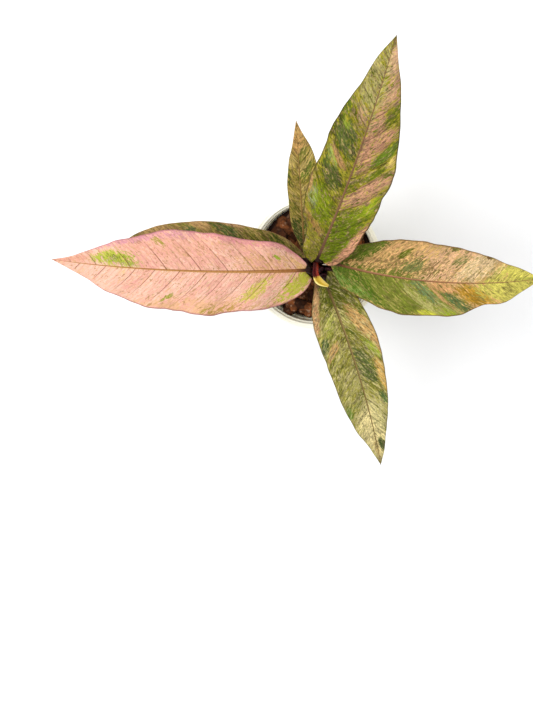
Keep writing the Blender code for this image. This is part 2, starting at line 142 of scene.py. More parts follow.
# foot is the petiole's bearing on its circle in the crown, base where the blade starts. heading
# and sweep turn the blade, rise and fall tilt it, fold and curl shape its two halves, lobe draws
# its base back. wave, waves and phase ripple its margin, quilt swells it between the side veins.
# rib is the midrib's half width at base and tip, left and right the blade's half widths at the
# stations, bulges a few narrow additions to them. veins is where the side veins leave the midrib,
# slant how far they run forward on the left and on the right.
LEAVES = {
    "leaf_left_long": dict(
        foot=205, circle=6.4, base=(-3.2, 0.9, 140), heading=178, sweep=-4, length=196,
        rise=22, fall=-22, fold=0.22, curl=-0.05, lobe=(5, 1.5), wave=2.0, waves=5.5,
        phase_left=0.1, phase_right=0.45, quilt=0.7, slant=(0.75, 0.68), rib=(1.5, 0.12),
        left=(10, 20.5, 27, 28.5, 31, 31.5, 29, 27, 20.5, 13, 5.5, 0),
        right=(5.5, 12, 19, 23.5, 27.5, 29, 30, 24.5, 19.5, 11.5, 4.5, 0),
        veins_left=(0.03, 0.13, 0.21, 0.29, 0.37, 0.47, 0.565, 0.64, 0.76, 0.87),
        veins_right=(0.03, 0.12, 0.19, 0.29, 0.39, 0.52, 0.66, 0.8, 0.91),
        bulges=(("right", 0.1, 0.075, 4.5), ("left", 0.36, 0.035, 0.8), ("left", 0.45, 0.03, -0.7))),
    "leaf_back_right_tall": dict(
        foot=55, circle=6.4, base=(7, 11.5, 146), heading=70, sweep=8, length=184,
        rise=44, fall=6, fold=0.38, curl=0.05, lobe=(9, 2.4), wave=2.5, waves=5,
        phase_left=0, phase_right=0.5, quilt=1.8, slant=(0.85, 1.1), rib=(1.2, 0.15),
        left=(4.5, 12, 15.5, 21.5, 25, 25.5, 23.5, 23, 18.5, 12.5, 8, 0),
        right=(13.3, 17.5, 21, 23.5, 25.5, 26.5, 28, 24, 19.5, 13.5, 6.5, 0),
        veins_left=(0.05, 0.12, 0.2, 0.3, 0.4, 0.48, 0.56, 0.65, 0.74, 0.83, 0.91),
        veins_right=(0.08, 0.15, 0.27, 0.36, 0.43, 0.5, 0.59, 0.68, 0.77, 0.86)),
    "leaf_right": dict(
        foot=5, circle=6.4, base=(17, 6, 136), heading=-4, sweep=17.5, length=157.5,
        rise=24, fall=-26, fold=0.25, curl=-0.1, lobe=(6, 2), wave=2.0, waves=4.5,
        phase_left=0.2, phase_right=0.7, quilt=1.1, slant=(0.65, 1.0), rib=(1.05, 0.15),
        left=(8, 14, 19, 25, 27.5, 28.5, 27, 24.5, 20.5, 14, 8, 0),
        right=(2.5, 13, 18, 23, 25.5, 26, 24.5, 23, 16, 14, 7.5, 0),
        veins_left=(0.06, 0.15, 0.25, 0.35, 0.45, 0.55, 0.66, 0.76, 0.87),
        veins_right=(0.05, 0.12, 0.2, 0.3, 0.4, 0.5, 0.6, 0.71, 0.83)),
    "leaf_front": dict(
        foot=-45, circle=6.4, base=(10.8, -8.6, 129), heading=-73.5, sweep=-17, length=156,
        rise=20, fall=-28, fold=0.35, curl=-0.05, lobe=(6, 6), wave=1.6, waves=4.5,
        phase_left=0.3, phase_right=0.8, quilt=1.2, slant=(1.05, 0.65), rib=(1.2, 0.15),
        left=(8, 14, 18, 21, 22, 21.5, 19, 16.5, 12.5, 8, 4.5, 0),
        right=(7, 11, 18, 21, 20.5, 20.5, 19, 18, 14.5, 9.5, 4.5, 0),
        veins_left=(0.05, 0.13, 0.22, 0.31, 0.4, 0.5, 0.6, 0.7, 0.8, 0.9),
        veins_right=(0.06, 0.14, 0.22, 0.28, 0.37, 0.47, 0.57, 0.67, 0.78, 0.89)),
    "leaf_back_small": dict(
        foot=105, circle=6.4, base=(-5.5, 16, 118), heading=92, sweep=3.5, length=101,
        rise=36, fall=2, fold=0.35, curl=0, lobe=(3, 3), wave=1.2, waves=3.5,
        phase_left=0.3, phase_right=0.8, quilt=0.5, slant=(1.0, 1.0), rib=(0.9, 0.12),
        left=(2.5, 4, 7, 8.5, 9, 9.2, 9.4, 8.5, 7, 4, 2, 0),
        right=(3.5, 7, 10, 11.5, 13, 14, 14.5, 14, 12.5, 9, 4, 0),
        veins_left=(0.1, 0.22, 0.34, 0.46, 0.58, 0.7, 0.84),
        veins_right=(0.08, 0.2, 0.31, 0.43, 0.55, 0.68, 0.82)),
    "leaf_left_low": dict(
        foot=155, circle=6.4, base=(-6, 6.5, 122), heading=176, sweep=27, length=144,
        rise=14, fall=-20, fold=0.25, curl=-0.05, lobe=(2, 2), wave=1.5, waves=4.5,
        phase_left=0.5, phase_right=0.1, quilt=0.6, slant=(0.9, 0.9), rib=(1.0, 0.12),
        left=(3, 8.5, 13.5, 15.5, 17, 16.5, 16, 13.5, 11.5, 7.5, 4.5, 0),
        right=(2.5, 8, 13, 15, 15.5, 16, 16, 14.5, 13, 10, 6, 0),
        veins_left=(0.08, 0.18, 0.29, 0.41, 0.53, 0.66, 0.8),
        veins_right=(0.06, 0.15, 0.25, 0.36, 0.48, 0.6, 0.73, 0.86)),
}

# How each leaf is marked. ground is its main colour; cloud and shade lie over it in broad streaks
# along the side veins, fleck and speck in fine ones over all, each with how much it covers.
# contrast is how strongly fine streaks vary in tone, the base shade value how dark painted shade
# makes the base by the crown, line how plain the side veins are.
# A patch is a colour over a stretch: where its side vein starts along the midrib, how far out
# (left is plus), its half sizes, and how much of it is covered.
LOOKS = {
    "leaf_left_long": dict(
        ground="#D39E8B", cloud=("#D8AC98", 0.4), shade=("#C88F82", 0.32), fleck=("#CBA06E", 0.16),
        speck=("#8A6A3A", 0.7), contrast=0.28, painted_base_shade=0.85, line=0.62,
        rib="#A87A48", rib_dark="#83542C", vein="#84503A", edge="#A0686A", patches=(
            (0.4, -0.7, 0.28, 0.5, "#D09682", 0.5), (0.5, -0.93, 0.28, 0.14, "#C2868E", 0.6),
            (0.1, -0.2, 0.16, 0.5, "#CC9C72", 0.5), (0.1, -0.95, 0.2, 0.14, "#C68484", 0.7),
            (0.3, 0.85, 0.22, 0.25, "#D0A07C", 0.6),
            (0.72, -0.3, 0.10, 0.38, "#A0A63C", 0.95), (0.69, -0.25, 0.08, 0.32, "#64781E", 0.5),
            (0.13, 0.5, 0.035, 0.32, "#BCB050", 0.7), (-0.02, 0.45, 0.06, 0.5, "#A6A53A", 0.8),
            (-0.08, 0.4, 0.04, 0.3, "#6F8A22", 0.7), (0.16, 0.92, 0.07, 0.16, "#AC8848", 0.55),
            (0.02, -0.35, 0.06, 0.35, "#CBA068", 0.5), (0.9, -0.5, 0.1, 0.6, "#C8907A", 0.6),
            (0.46, -0.75, 0.02, 0.16, "#94843C", 0.6), (0.07, -0.5, 0.01, 0.1, "#8F9A34", 0.9),
            (0.425, 0.7, 0.012, 0.12, "#8A8A34", 0.8), (0.23, 0.9, 0.02, 0.14, "#A08840", 0.6),
            (0.68, 0.18, 0.02, 0.14, "#B8A650", 0.6), (0.8, 0.4, 0.2, 0.7, "#D8AC98", 0.6))),
    "leaf_back_right_tall": dict(
        ground="#7E761E", cloud=("#968C34", 0.36), shade=("#434A10", 0.26),
        fleck=("#B2966A", 0.24), speck=("#414C0C", 0.9), contrast=1.6, painted_base_shade=0.8, line=0.3,
        # Its edge colour is a dark painted shadow along the margin
        rib="#7C5C40", rib_dark="#5C4030", vein="#564524", edge="#443A20", patches=(
            (0.09, -0.35, 0.18, 0.55, "#58660A", 0.9), (-0.03, -0.92, 0.13, 0.25, "#BC8668", 1.0),
            (0.22, -0.7, 0.05, 0.3, "#7E8E18", 0.62), (0.32, -0.55, 0.055, 0.6, "#AE8064", 0.72),
            (0.4, -0.55, 0.02, 0.3, "#565E12", 0.8), (0.41, -0.88, 0.03, 0.14, "#B29A50", 0.8),
            (0.465, -0.68, 0.03, 0.4, "#56681A", 0.92), (0.54, -0.45, 0.05, 0.5, "#AC7C60", 0.75),
            (0.6, -0.25, 0.17, 0.28, "#A6785E", 0.75), (0.64, -0.75, 0.07, 0.3, "#565E12", 0.5),
            (0.78, -0.6, 0.1, 0.5, "#B0846A", 0.65), (0.9, -0.5, 0.1, 0.8, "#B48E72", 0.7),
            (0.03, 0.4, 0.09, 0.55, "#8E8430", 0.6), (0.13, 0.55, 0.03, 0.4, "#9C7842", 0.7),
            (0.23, 0.5, 0.08, 0.45, "#6E7C10", 0.78), (0.37, 0.5, 0.05, 0.4, "#4C5424", 0.8),
            # Painted highlight: the pale green patch at 0.42 and the pale mint one at 0.21 stand for
            # sheen on the bulging blade
            (0.42, 0.66, 0.035, 0.26, "#8C9A4C", 0.55),
            (0.21, 0.82, 0.05, 0.2, "#9AA470", 0.42), (0.45, 0.5, 0.018, 0.3, "#A67E50", 0.85),
            (0.54, 0.5, 0.07, 0.45, "#545E2C", 0.75), (0.58, 0.68, 0.025, 0.22, "#8A9A2C", 0.55),
            (0.62, 0.88, 0.06, 0.2, "#56640F", 0.7), (0.67, 0.28, 0.045, 0.28, "#AA8064", 0.7),
            (0.75, 0.35, 0.04, 0.4, "#586220", 0.7), (0.82, 0.4, 0.18, 0.9, "#A99E62", 0.6),
            (0.24, 0.97, 0.05, 0.08, "#B08A58", 0.9))),
    "leaf_right": dict(
        ground="#B58E5A", cloud=("#BF9262", 0.4), shade=("#8A7640", 0.22),
        fleck=("#A09250", 0.3), speck=("#5A5A24", 0.75), contrast=1.2, painted_base_shade=0.75, line=0.35,
        rib="#94684A", rib_dark="#5E3C24", vein="#74542E", edge="#6A4C28", patches=(
            (0.52, 0.45, 0.22, 0.8, "#CCA07A", 0.75), (0.0, 0.3, 0.1, 0.35, "#6E5A22", 0.7),
            (0.3, 0.28, 0.2, 0.34, "#8C6E46", 0.66), (0.64, 0.5, 0.09, 0.6, "#D4B68A", 0.8),
            (0.03, -0.2, 0.1, 0.22, "#33400A", 0.8),
            (0.06, 0.75, 0.07, 0.35, "#526618", 0.95),
            (0.25, 0.65, 0.02, 0.13, "#565E12", 0.9), (0.345, 0.33, 0.05, 0.22, "#66693A", 0.75),
            (0.525, 0.65, 0.04, 0.2, "#807C4A", 0.6), (0.445, 0.95, 0.02, 0.08, "#5C562A", 0.9),
            (0.635, 0.97, 0.02, 0.08, "#6A4A2C", 0.9), (0.75, 0.5, 0.04, 0.6, "#D6BC7C", 0.7),
            (0.245, -0.5, 0.3, 0.6, "#626A22", 1.05), (0.0, -0.4, 0.13, 0.6, "#3F5A0C", 1.1),
            (0.0, -0.75, 0.09, 0.3, "#7C9A48", 0.45), (0.34, -0.6, 0.05, 0.5, "#A8A260", 0.62),
            (0.285, -0.94, 0.05, 0.12, "#B4B43C", 0.85), (0.395, -0.88, 0.05, 0.15, "#7C8C20", 0.9),
            (0.4, -0.35, 0.035, 0.36, "#66784A", 0.8),
            (0.45, -0.8, 0.12, 0.3, "#B0A866", 0.5), (0.45, -0.4, 0.014, 0.4, "#A68052", 0.8),
            (0.495, -0.6, 0.03, 0.35, "#50643A", 0.92), (0.515, -0.13, 0.06, 0.18, "#BE8C5E", 0.9),
            (0.615, -0.5, 0.07, 0.5, "#A87E28", 0.92), (0.88, 0.6, 0.12, 0.7, "#C8BE58", 0.97),
            (0.92, 0.1, 0.1, 0.3, "#A8AA44", 0.9), (0.82, -0.5, 0.15, 0.8, "#C4BA58", 0.95))),
    "leaf_front": dict(
        ground="#76702A", cloud=("#9A9254", 0.4), shade=("#4A5218", 0.28),
        fleck=("#BCAE78", 0.34), speck=("#384012", 0.8), contrast=1.6, painted_base_shade=0.58, line=0.25,
        rib="#7E6A40", rib_dark="#4E3E20", vein="#5A502A", edge="#62562E", patches=(
            (0.0, 0.1, 0.14, 0.9, "#565A12", 0.8), (0.78, 0.1, 0.2, 1.1, "#CDBC84", 0.85),
            (0.05, -0.92, 0.09, 0.25, "#B0865C", 0.9), (0.27, -0.6, 0.025, 0.28, "#B08A54", 0.95),
            (0.205, -0.8, 0.035, 0.2, "#46562C", 0.8), (0.175, -0.4, 0.05, 0.3, "#969842", 0.6),
            (0.58, -0.88, 0.04, 0.2, "#527020", 0.85), (0.55, 0.0, 0.14, 1.0, "#A29A5C", 0.5),
            (0.14, 0.72, 0.065, 0.4, "#B48C54", 0.95), (0.19, 0.97, 0.05, 0.1, "#B88C58", 0.9),
            (0.245, 0.75, 0.03, 0.25, "#8C9634", 0.85), (0.36, 0.9, 0.08, 0.25, "#B6904E", 0.9),
            (0.4, 0.35, 0.1, 0.35, "#4D562A", 0.75), (0.5, 0.85, 0.03, 0.22, "#4A6030", 0.75),
            (0.65, 0.5, 0.1, 0.6, "#BDB27A", 0.65), (0.83, 0.7, 0.045, 0.45, "#3C4C22", 0.95),
            (0.9, -0.05, 0.08, 0.35, "#B8A066", 0.75))),
    "leaf_back_small": dict(
        ground="#867632", cloud=("#9C8850", 0.36), shade=("#4A501A", 0.28),
        fleck=("#B4985C", 0.34), speck=("#363E12", 0.8), contrast=1.6, painted_base_shade=0.7, line=0.25,
        rib="#8B6E3C", rib_dark="#56401E", vein="#64522A", edge="#685432", patches=(
            (0.9, 0.0, 0.17, 1.2, "#B08852", 0.92), (0.5, 0.88, 0.05, 0.2, "#485018", 0.85),
            (0.1, 0.4, 0.13, 0.6, "#394818", 0.9), (0.58, -0.4, 0.05, 0.5, "#5C6A24", 0.7),
            (0.1, -0.3, 0.16, 0.6, "#3F4C18", 0.85), (0.72, -0.3, 0.05, 0.4, "#6A6A2A", 0.7))),
    "leaf_left_low": dict(
        ground="#6A6428", cloud=("#8A7A42", 0.42), shade=("#3C4416", 0.28),
        fleck=("#A48458", 0.34), speck=("#2C340F", 0.8), contrast=1.6, painted_base_shade=0.6, line=0.2,
        rib="#7A5C36", rib_dark="#4A341C", vein="#46401C", edge="#907048", patches=(
            (0.45, -0.85, 0.05, 0.3, "#A08052", 0.85), (0.33, -0.65, 0.06, 0.32, "#4A582C", 0.85),
            (0.27, -0.95, 0.05, 0.1, "#A88460", 0.85), (0.54, -0.5, 0.04, 0.4, "#4C5A34", 0.7),
            (0.72, -0.8, 0.15, 0.4, "#92764A", 0.75))),
}

# Shoot and sheaths: path points in mm, half width, half depth. The last ones are dry scraps that
# cling to the crown beside the old sheath.
SHOOT_PATH = (
    ((5.5, -1.5, 92), 2.1, 2.1), ((5.5, -1.5, 102), 2.1, 2.1), ((4.6, 1.4, 113), 2.0, 1.8),
    ((3.9, 4.2, 125), 2.0, 1.5), ((4.3, 2.6, 134), 2.1, 1.5), ((4.9, -2.4, 141), 2.4, 1.6),
    ((8.0, -6.6, 145.3), 2.9, 1.6), ((14.6, -9.8, 147), 0.9, 0.5),
)
SHEATH_PATH = (
    ((4.9, -7.9, 92), 2.0, 2.0), ((4.9, -7.9, 102), 2.0, 2.0), ((5.0, -6.6, 111), 2.2, 1.4),
    ((5.2, -3.4, 120), 2.1, 1.2), ((7.4, -0.2, 128), 2.2, 0.9), ((9.4, 2.4, 132.6), 0.6, 0.4),
)
NEVER_PALE = 1.3
SCRAP_PATHS = {
    "scrap_behind": (((7.6, 1.0, 94), 2.4, 1.6), ((7.4, 4.0, 112), 2.8, 1.5),
                     ((6.6, 7.4, 126), 2.7, 1.2), ((5.6, 9.6, 133.5), 0.5, 0.3)),
    "scrap_left": (((0.8, -3.0, 94), 2.2, 1.4), ((0.2, -2.6, 108), 2.8, 1.2),
                   ((0.4, -0.8, 120), 2.8, 0.9), ((0.8, 1.6, 130), 0.8, 0.3)),
    "scrap_right": (((9.6, -1.8, 96), 2.2, 1.4), ((10.6, -1.4, 110), 2.6, 1.4),
                    ((12.6, -0.2, 123), 3.2, 1.6), ((15.2, 1.4, 132.5), 2.6, 1.2)),
    "scrap_front": (((7.8, -5.2, 96), 2.2, 1.2), ((8.4, -5.6, 112), 2.6, 1.2),
                    ((9.4, -4.8, 124), 2.8, 1.2), ((10.8, -2.8, 132), 1.6, 0.7)),
    "scrap_pale": (((9.2, 1.6, 96), 1.6, 0.8), ((9.8, 2.6, 114), 1.7, 0.7),
                   ((10.6, 4.0, 130), 1.7, 0.5), ((11.8, 5.4, 141), 1.1, 0.35)),
}


def linear(code):
    """Linear colour of an sRGB hex code."""
    channels = [int(code[i:i + 2], 16) / 255 for i in (1, 3, 5)]
    return [c / 12.92 if c <= 0.04045 else ((c + 0.055) / 1.055) ** 2.4 for c in channels] + [1]


def smooth_value(x, xs, ys):
    """Value at x of a smooth curve through the points xs, ys."""
    steps = [b - a for a, b in zip(xs, xs[1:])]
    slopes = [(b - a) / h for a, b, h in zip(ys, ys[1:], steps)]
    i = max(j for j in range(len(steps)) if xs[j] <= x or j == 0)

    def tangent(j):
        if j == 0 or j == len(xs) - 1:
            return slopes[min(j, len(slopes) - 1)]
        before, after = steps[j - 1], steps[j]
        return (slopes[j - 1] * after + slopes[j] * before) / (before + after)

    h = steps[i]
    s = (x - xs[i]) / h
    return ((2 * s**3 - 3 * s**2 + 1) * ys[i] + (s**3 - 2 * s**2 + s) * h * tangent(i)
            + (3 * s**2 - 2 * s**3) * ys[i + 1] + (s**3 - s**2) * h * tangent(i + 1))


def fade(low, high, x):
    """0 below low, 1 above high, smooth between."""
    s = min(max((x - low) / (high - low), 0), 1)
    return s * s * (3 - 2 * s)


# Shader nodes

def new_material(name):
    """Material, its node tree and its Principled BSDF."""
    material = bpy.data.materials.new(name)
    material.use_nodes = True
    tree = material.node_tree
    return material, tree, tree.nodes["Principled BSDF"]


def add(tree, kind, inputs, output=0, **settings):
    """Adds a node of this kind with its inputs and settings. Gives one of its outputs."""
    node = tree.nodes.new("ShaderNode" + kind)
    for key, value in settings.items():
        setattr(node, key, value)
    connect(tree, node, inputs)
    return node.outputs[output]


def connect(tree, node, inputs):
    """Links each input to a socket, or sets it to a value or a hex colour."""
    for key, value in inputs.items():
        if isinstance(value, bpy.types.NodeSocket):
            tree.links.new(value, node.inputs[key])
        else:
            node.inputs[key].default_value = linear(value) if isinstance(value, str) else value


def surfaced(tree, shader, colour, roughness, specular, relief):
    """Joins colour, gloss and relief to the shader. Relief is height, strength, depth in mm."""
    height, strength, depth = relief
    bump = add(tree, "Bump", {"Strength": strength, "Distance": depth * MM, "Height": height})
    connect(tree, shader, {"Base Color": colour, "Roughness": roughness, "Normal": bump,
                           "Specular IOR Level": specular})


def layered(tree, colour, *layers):
    """Colour with layers laid over it in turn: where each lies, how strongly, its colour."""
    for mask, strength, cover in layers:
        mask = add(tree, "Math", {0: mask, 1: strength}, operation="MULTIPLY")
        colour = add(tree, "Mix", {0: mask, 6: colour, 7: cover}, 2, data_type="RGBA")
    return colour


def where(tree, *limits):
    """1 where every value lies past its second limit, 0 where one lies before its first."""
    total = 1.0
    for value, none, full in limits:
        mask = add(tree, "MapRange", {0: value, 1: none, 2: full},
                   interpolation_type="SMOOTHSTEP")
        total = add(tree, "Math", {0: total, 1: mask}, operation="MULTIPLY")
    return total


def covered(tree, grain, share, softness):
    """1 where the grain lies under the share, 0 above it."""
    return where(tree, (grain, share + softness, share - softness))


def weighted(tree, total, *parts):
    """A first value with others added to it, each by its weight."""
    for value, weight in parts:
        total = add(tree, "Math", {0: value, 1: weight, 2: total}, operation="MULTIPLY_ADD")
    return total


def blended(tree, *parts):
    """Weighted sum of streaks, stretched again to about 0 to 1."""
    total = weighted(tree, 0.0, *parts)
    return add(tree, "MapRange", {0: total, 1: 0.2, 2: 0.8}, clamp=False)


def distance(tree, value, middle=0.0):
    """How far a value lies from the middle, to either side."""
    gap = add(tree, "Math", {0: value, 1: middle}, operation="SUBTRACT")
    return add(tree, "Math", {0: gap}, operation="ABSOLUTE")


def readings(tree, *keys):
    """Values that the mesh carries at each point."""
    return [add(tree, "Attribute", {}, "Fac", attribute_name=key) for key in keys]


def streaks(tree, place, across, along, detail, seed):
    """Noise of so many cycles a mm across and along the side veins, spread to about 0 to 1."""
    spot = add(tree, "Mapping", {0: place, 1: (seed * 3.7, seed * 1.9, seed),
                                 3: (across, along, 1)})
    grain = add(tree, "TexNoise", {"Vector": spot, "Scale": 1.0, "Detail": detail,
                                   "Roughness": 0.65, "Distortion": 0.7})
    return add(tree, "MapRange", {0: grain, 1: 0.3, 2: 0.7}, clamp=False)


def grained(tree, cycles, detail, roughness=0.5, turn=(0, 0, 0)):
    """Noise in the piece's own place, of so many cycles a mm along each axis."""
    place = add(tree, "TexCoord", {}, "Object")
    place = add(tree, "Mapping", {0: place, 2: turn, 3: [count / MM for count in cycles]})
    return add(tree, "TexNoise", {"Vector": place, "Scale": 1.0, "Detail": detail,
                                  "Roughness": roughness})


def vein_mask(tree, number, side, half, count=1.0):
    """1 on the side veins, or count as many finer ones, fading towards the margin."""
    number = add(tree, "Math", {0: number, 1: count}, operation="MULTIPLY")
    spread = add(tree, "Math", {0: number, 1: 0.5}, operation="PINGPONG")
    line = where(tree, (spread, half, half * 0.25))
    inner = weighted(tree, 0.1, (where(tree, (distance(tree, side), 0.95, 0.3)), 0.9))
    return add(tree, "Math", {0: line, 1: inner}, operation="MULTIPLY")


def patch_mask(tree, flat, grain, patch, cover, length):
    """1 inside a patch of a leaf, with its border torn by the grain."""
    along, across, half_along, half_across = patch
    spot = add(tree, "VectorMath", {0: flat, 1: (along * length, across, 0)},
               operation="SUBTRACT")
    spot = add(tree, "VectorMath", {0: spot, 1: (1 / (half_along * length), 1 / half_across, 1)},
               operation="MULTIPLY")
    far = add(tree, "VectorMath", {0: spot}, "Value", operation="LENGTH")
    near = add(tree, "Math", {0: PATCH_REACH, 1: far}, operation="SUBTRACT", use_clamp=True)
    return where(tree, (weighted(tree, 0.0, (near, cover), (grain, -1.0)), -0.14, 0.14))


def leaf_top(name, leaf, look, gloss):
    """Waxy upper side of a blade: streaked ground, patches, side veins, midrib, thin edge; painted
    shade darkens the base and one flank of the midrib.
    """
    material, tree, shader = new_material(name + "_upper")
    number, side, share, start, out, rib = readings(
        tree, "number", "side", "share", "start", "out", "rib")
    place = add(tree, "CombineXYZ", {0: start, 1: out})
    seed = float(list(LEAVES).index(name)) + 1
    # A slow warp keeps the streaks from running ruler straight
    warp = add(tree, "TexNoise", {"Vector": place, "Scale": 0.13, "Detail": 2.0}, "Color")
    warp = add(tree, "VectorMath", {0: warp, 1: (-0.5, -0.5, -0.5)}, operation="ADD")
    warp = add(tree, "VectorMath", {0: warp, 3: 5.0}, operation="SCALE")
    place = add(tree, "VectorMath", {0: place, 1: warp}, operation="ADD")
    broad = streaks(tree, place, 0.14, 0.035, 4.0, seed)
    medium = streaks(tree, place, 0.27, 0.1, 3.0, seed + 9)
    fine = streaks(tree, place, 0.46, 0.26, 3.0, seed + 20)
    hair = streaks(tree, place, 0.85, 0.58, 2.0, seed + 31)
    marble = blended(tree, (streaks(tree, place, 0.38, 0.22, 2.0, seed + 47), 0.55),
                     (streaks(tree, place, 0.75, 0.5, 2.0, seed + 61), 0.45))
    # Each stretch between two side veins gets its own share of the cloud colour
    sector = add(tree, "Math", {0: number}, operation="FLOOR")
    half = add(tree, "Math", {0: side}, operation="SIGN")
    sector = add(tree, "CombineXYZ", {0: sector, 1: half, 2: seed})
    sector = add(tree, "TexWhiteNoise", {"Vector": sector})
    grain = blended(tree, (medium, 0.3), (fine, 0.42), (hair, 0.28))
    cloud = blended(tree, (broad, 0.4), (sector, 0.15), (medium, 0.25), (fine, 0.2))
    inverse = add(tree, "Math", {0: 1.0, 1: cloud}, operation="SUBTRACT")

    colour = layered(
        tree, look["ground"],
        (covered(tree, cloud, look["cloud"][1], 0.14), 1.0, look["cloud"][0]),
        (covered(tree, inverse, look["shade"][1], 0.14), 1.0, look["shade"][0]))
    flat = add(tree, "CombineXYZ", {0: start, 1: side})
    for *patch, code, cover in look["patches"]:
        mask = patch_mask(tree, flat, grain, patch, cover, leaf["length"])
        colour = layered(tree, colour, (mask, 1.0, code))
    colour = layered(
        tree, colour,
        (covered(tree, marble, look["fleck"][1], 0.2), 0.65, look["fleck"][0]),
        (where(tree, (marble, 0.7, 1.0)), look["speck"][1], look["speck"][0]))

    tone = blended(tree, (fine, 0.45), (hair, 0.3), (marble, 0.25))
    tone = weighted(tree, 1 - look["contrast"] * 0.5, (tone, look["contrast"]))
    tone = add(tree, "Math", {0: tone, 1: 0.3}, operation="MAXIMUM")
    # Painted shade: the blade is darker towards its base, near the crown
    painted_base_shade = weighted(tree, look["painted_base_shade"], (where(tree, (share, -0.08, 0.28)), 1 - look["painted_base_shade"]))
    tone = add(tree, "Math", {0: tone, 1: painted_base_shade}, operation="MULTIPLY")
    colour = add(tree, "VectorMath", {0: colour, 3: tone}, operation="SCALE")

    spacing = len(leaf["veins_left"]) / leaf["length"]
    lines = vein_mask(tree, number, side, 0.42 * spacing)
    thin = vein_mask(tree, number, side, 0.09, FINE_VEINS)
    # The midrib takes its darker colour on the side where rib is negative, as painted shade on the
    # raised rib's shaded flank, and is darker towards the base
    rib_colour = layered(
        tree, look["rib"], (where(tree, (rib, 0.2, -1.0)), 1.0, look["rib_dark"]),
        (where(tree, (share, 0.25, -0.02)), 1.0, look["rib_dark"]))
    colour = layered(
        tree, colour, (thin, 0.2, look["vein"]), (lines, look["line"], look["vein"]),
        (where(tree, (distance(tree, rib), 1.15, 0.75)), 1.0, rib_colour),
        # Margin line: the margin's own colour on most leaves, a dark painted shadow on the tall leaf
        (where(tree, (distance(tree, side), 0.95, 0.99)), 0.8, look["edge"]))
    relief = weighted(tree, 0.0, (fine, 0.6), (medium, 0.5), (lines, -0.9), (thin, -0.3))
    rough = weighted(tree, gloss + 0.1, (where(tree, (grain, 0.0, 1.0)), -0.15))
    surfaced(tree, shader, colour, rough, 0.05, (relief, 0.8, 0.7))
    return material


def leaf_underside(name, leaf, look):
    """Under side: the same ground, paler and duller, with its veins standing out."""
    material, tree, shader = new_material(name + "_under")
    number, side, start, out, rib = readings(tree, "number", "side", "start", "out", "rib")
    place = add(tree, "CombineXYZ", {0: start, 1: out})
    seed = float(list(LEAVES).index(name)) + 41
    medium = streaks(tree, place, 0.4, 0.1, 5.0, seed)
    lines = vein_mask(tree, number, side, 0.6 * len(leaf["veins_left"]) / leaf["length"])
    thin = vein_mask(tree, number, side, 0.1, FINE_VEINS)
    colour = layered(
        tree, look["ground"], (covered(tree, medium, 0.45, 0.1), 1.0, look["cloud"][0]),
        (0.42, 1.0, "#BDB58F"), (thin, 0.3, "#A9966C"), (lines, 0.7, "#A08A5C"),
        (where(tree, (distance(tree, rib), 1.5, 0.9)), 1.0, "#9C8258"))
    relief = weighted(tree, 0.0, (medium, 0.5), (lines, 0.9), (thin, 0.4))
    surfaced(tree, shader, colour, 0.62, 0.25, (relief, 0.5, 0.4))
    return material


def stalk_material(name, low, high, streak):
    """Petiole: dark at the crown and paler towards the blade, with fine lengthwise streaks."""
    material, tree, shader = new_material(name)
    grain = grained(tree, (2.2, 2.2, 0.16), 4.0)
    share, = readings(tree, "share")
    colour = layered(tree, low, (where(tree, (share, -0.16, 0.03)), 1.0, high),
                     (where(tree, (grain, 0.45, 0.7)), 0.6, streak))
    surfaced(tree, shader, colour, 0.42, 0.15, (grain, 0.35, 0.2))
    return material


def ivory_plastic(colour, roughness):
    """Moulded ivory polypropylene: faint clouding, a soft glow, soil specks above the mix, and
    painted shade lines in the corners of the inner steps.
    """
    material, tree, shader = new_material("ivory_plastic")
    place = add(tree, "TexCoord", {}, "Object")
    cloud = grained(tree, [0.038] * 3, 4.0)
    dust = grained(tree, [0.42] * 3, 5.0, 0.7)
    height = add(tree, "SeparateXYZ", {0: place}, 2)
    flat = add(tree, "VectorMath", {0: place, 1: (1, 1, 0)}, operation="MULTIPLY")
    radius = add(tree, "VectorMath", {0: flat}, "Value", operation="LENGTH")
    colour = layered(tree, colour, (where(tree, (cloud, 0.35, 0.7)), 0.5, "#E9EADF"))
    # Painted shade: a thin dark line in the corner at the foot of each inner step
    for ring in STEP_RADII:
        gap = distance(tree, radius, ring * MM)
        step_shade = where(tree, (gap, 0.3 * MM, 0.1 * MM))
        colour = layered(tree, colour, (step_shade, 0.4, "#7A7360"))
    soil = where(tree, (height, 88.5 * MM, 79.5 * MM), (height, 71 * MM, 74 * MM),
                 (radius, 48.4 * MM, 48 * MM), (dust, 0.5, 0.62))
    colour = layered(tree, colour, (soil, 0.5, "#8C7A62"))
    rough = weighted(tree, roughness - 0.06, (where(tree, (cloud, 0.3, 0.7)), 0.16))
    surfaced(tree, shader, colour, rough, 0.5, (dust, 0.12, 0.2))
    connect(tree, shader, {"Subsurface Weight": 0.25, "Subsurface Radius": (1.0, 0.95, 0.85),
                           "Subsurface Scale": 6 * MM})
    return material


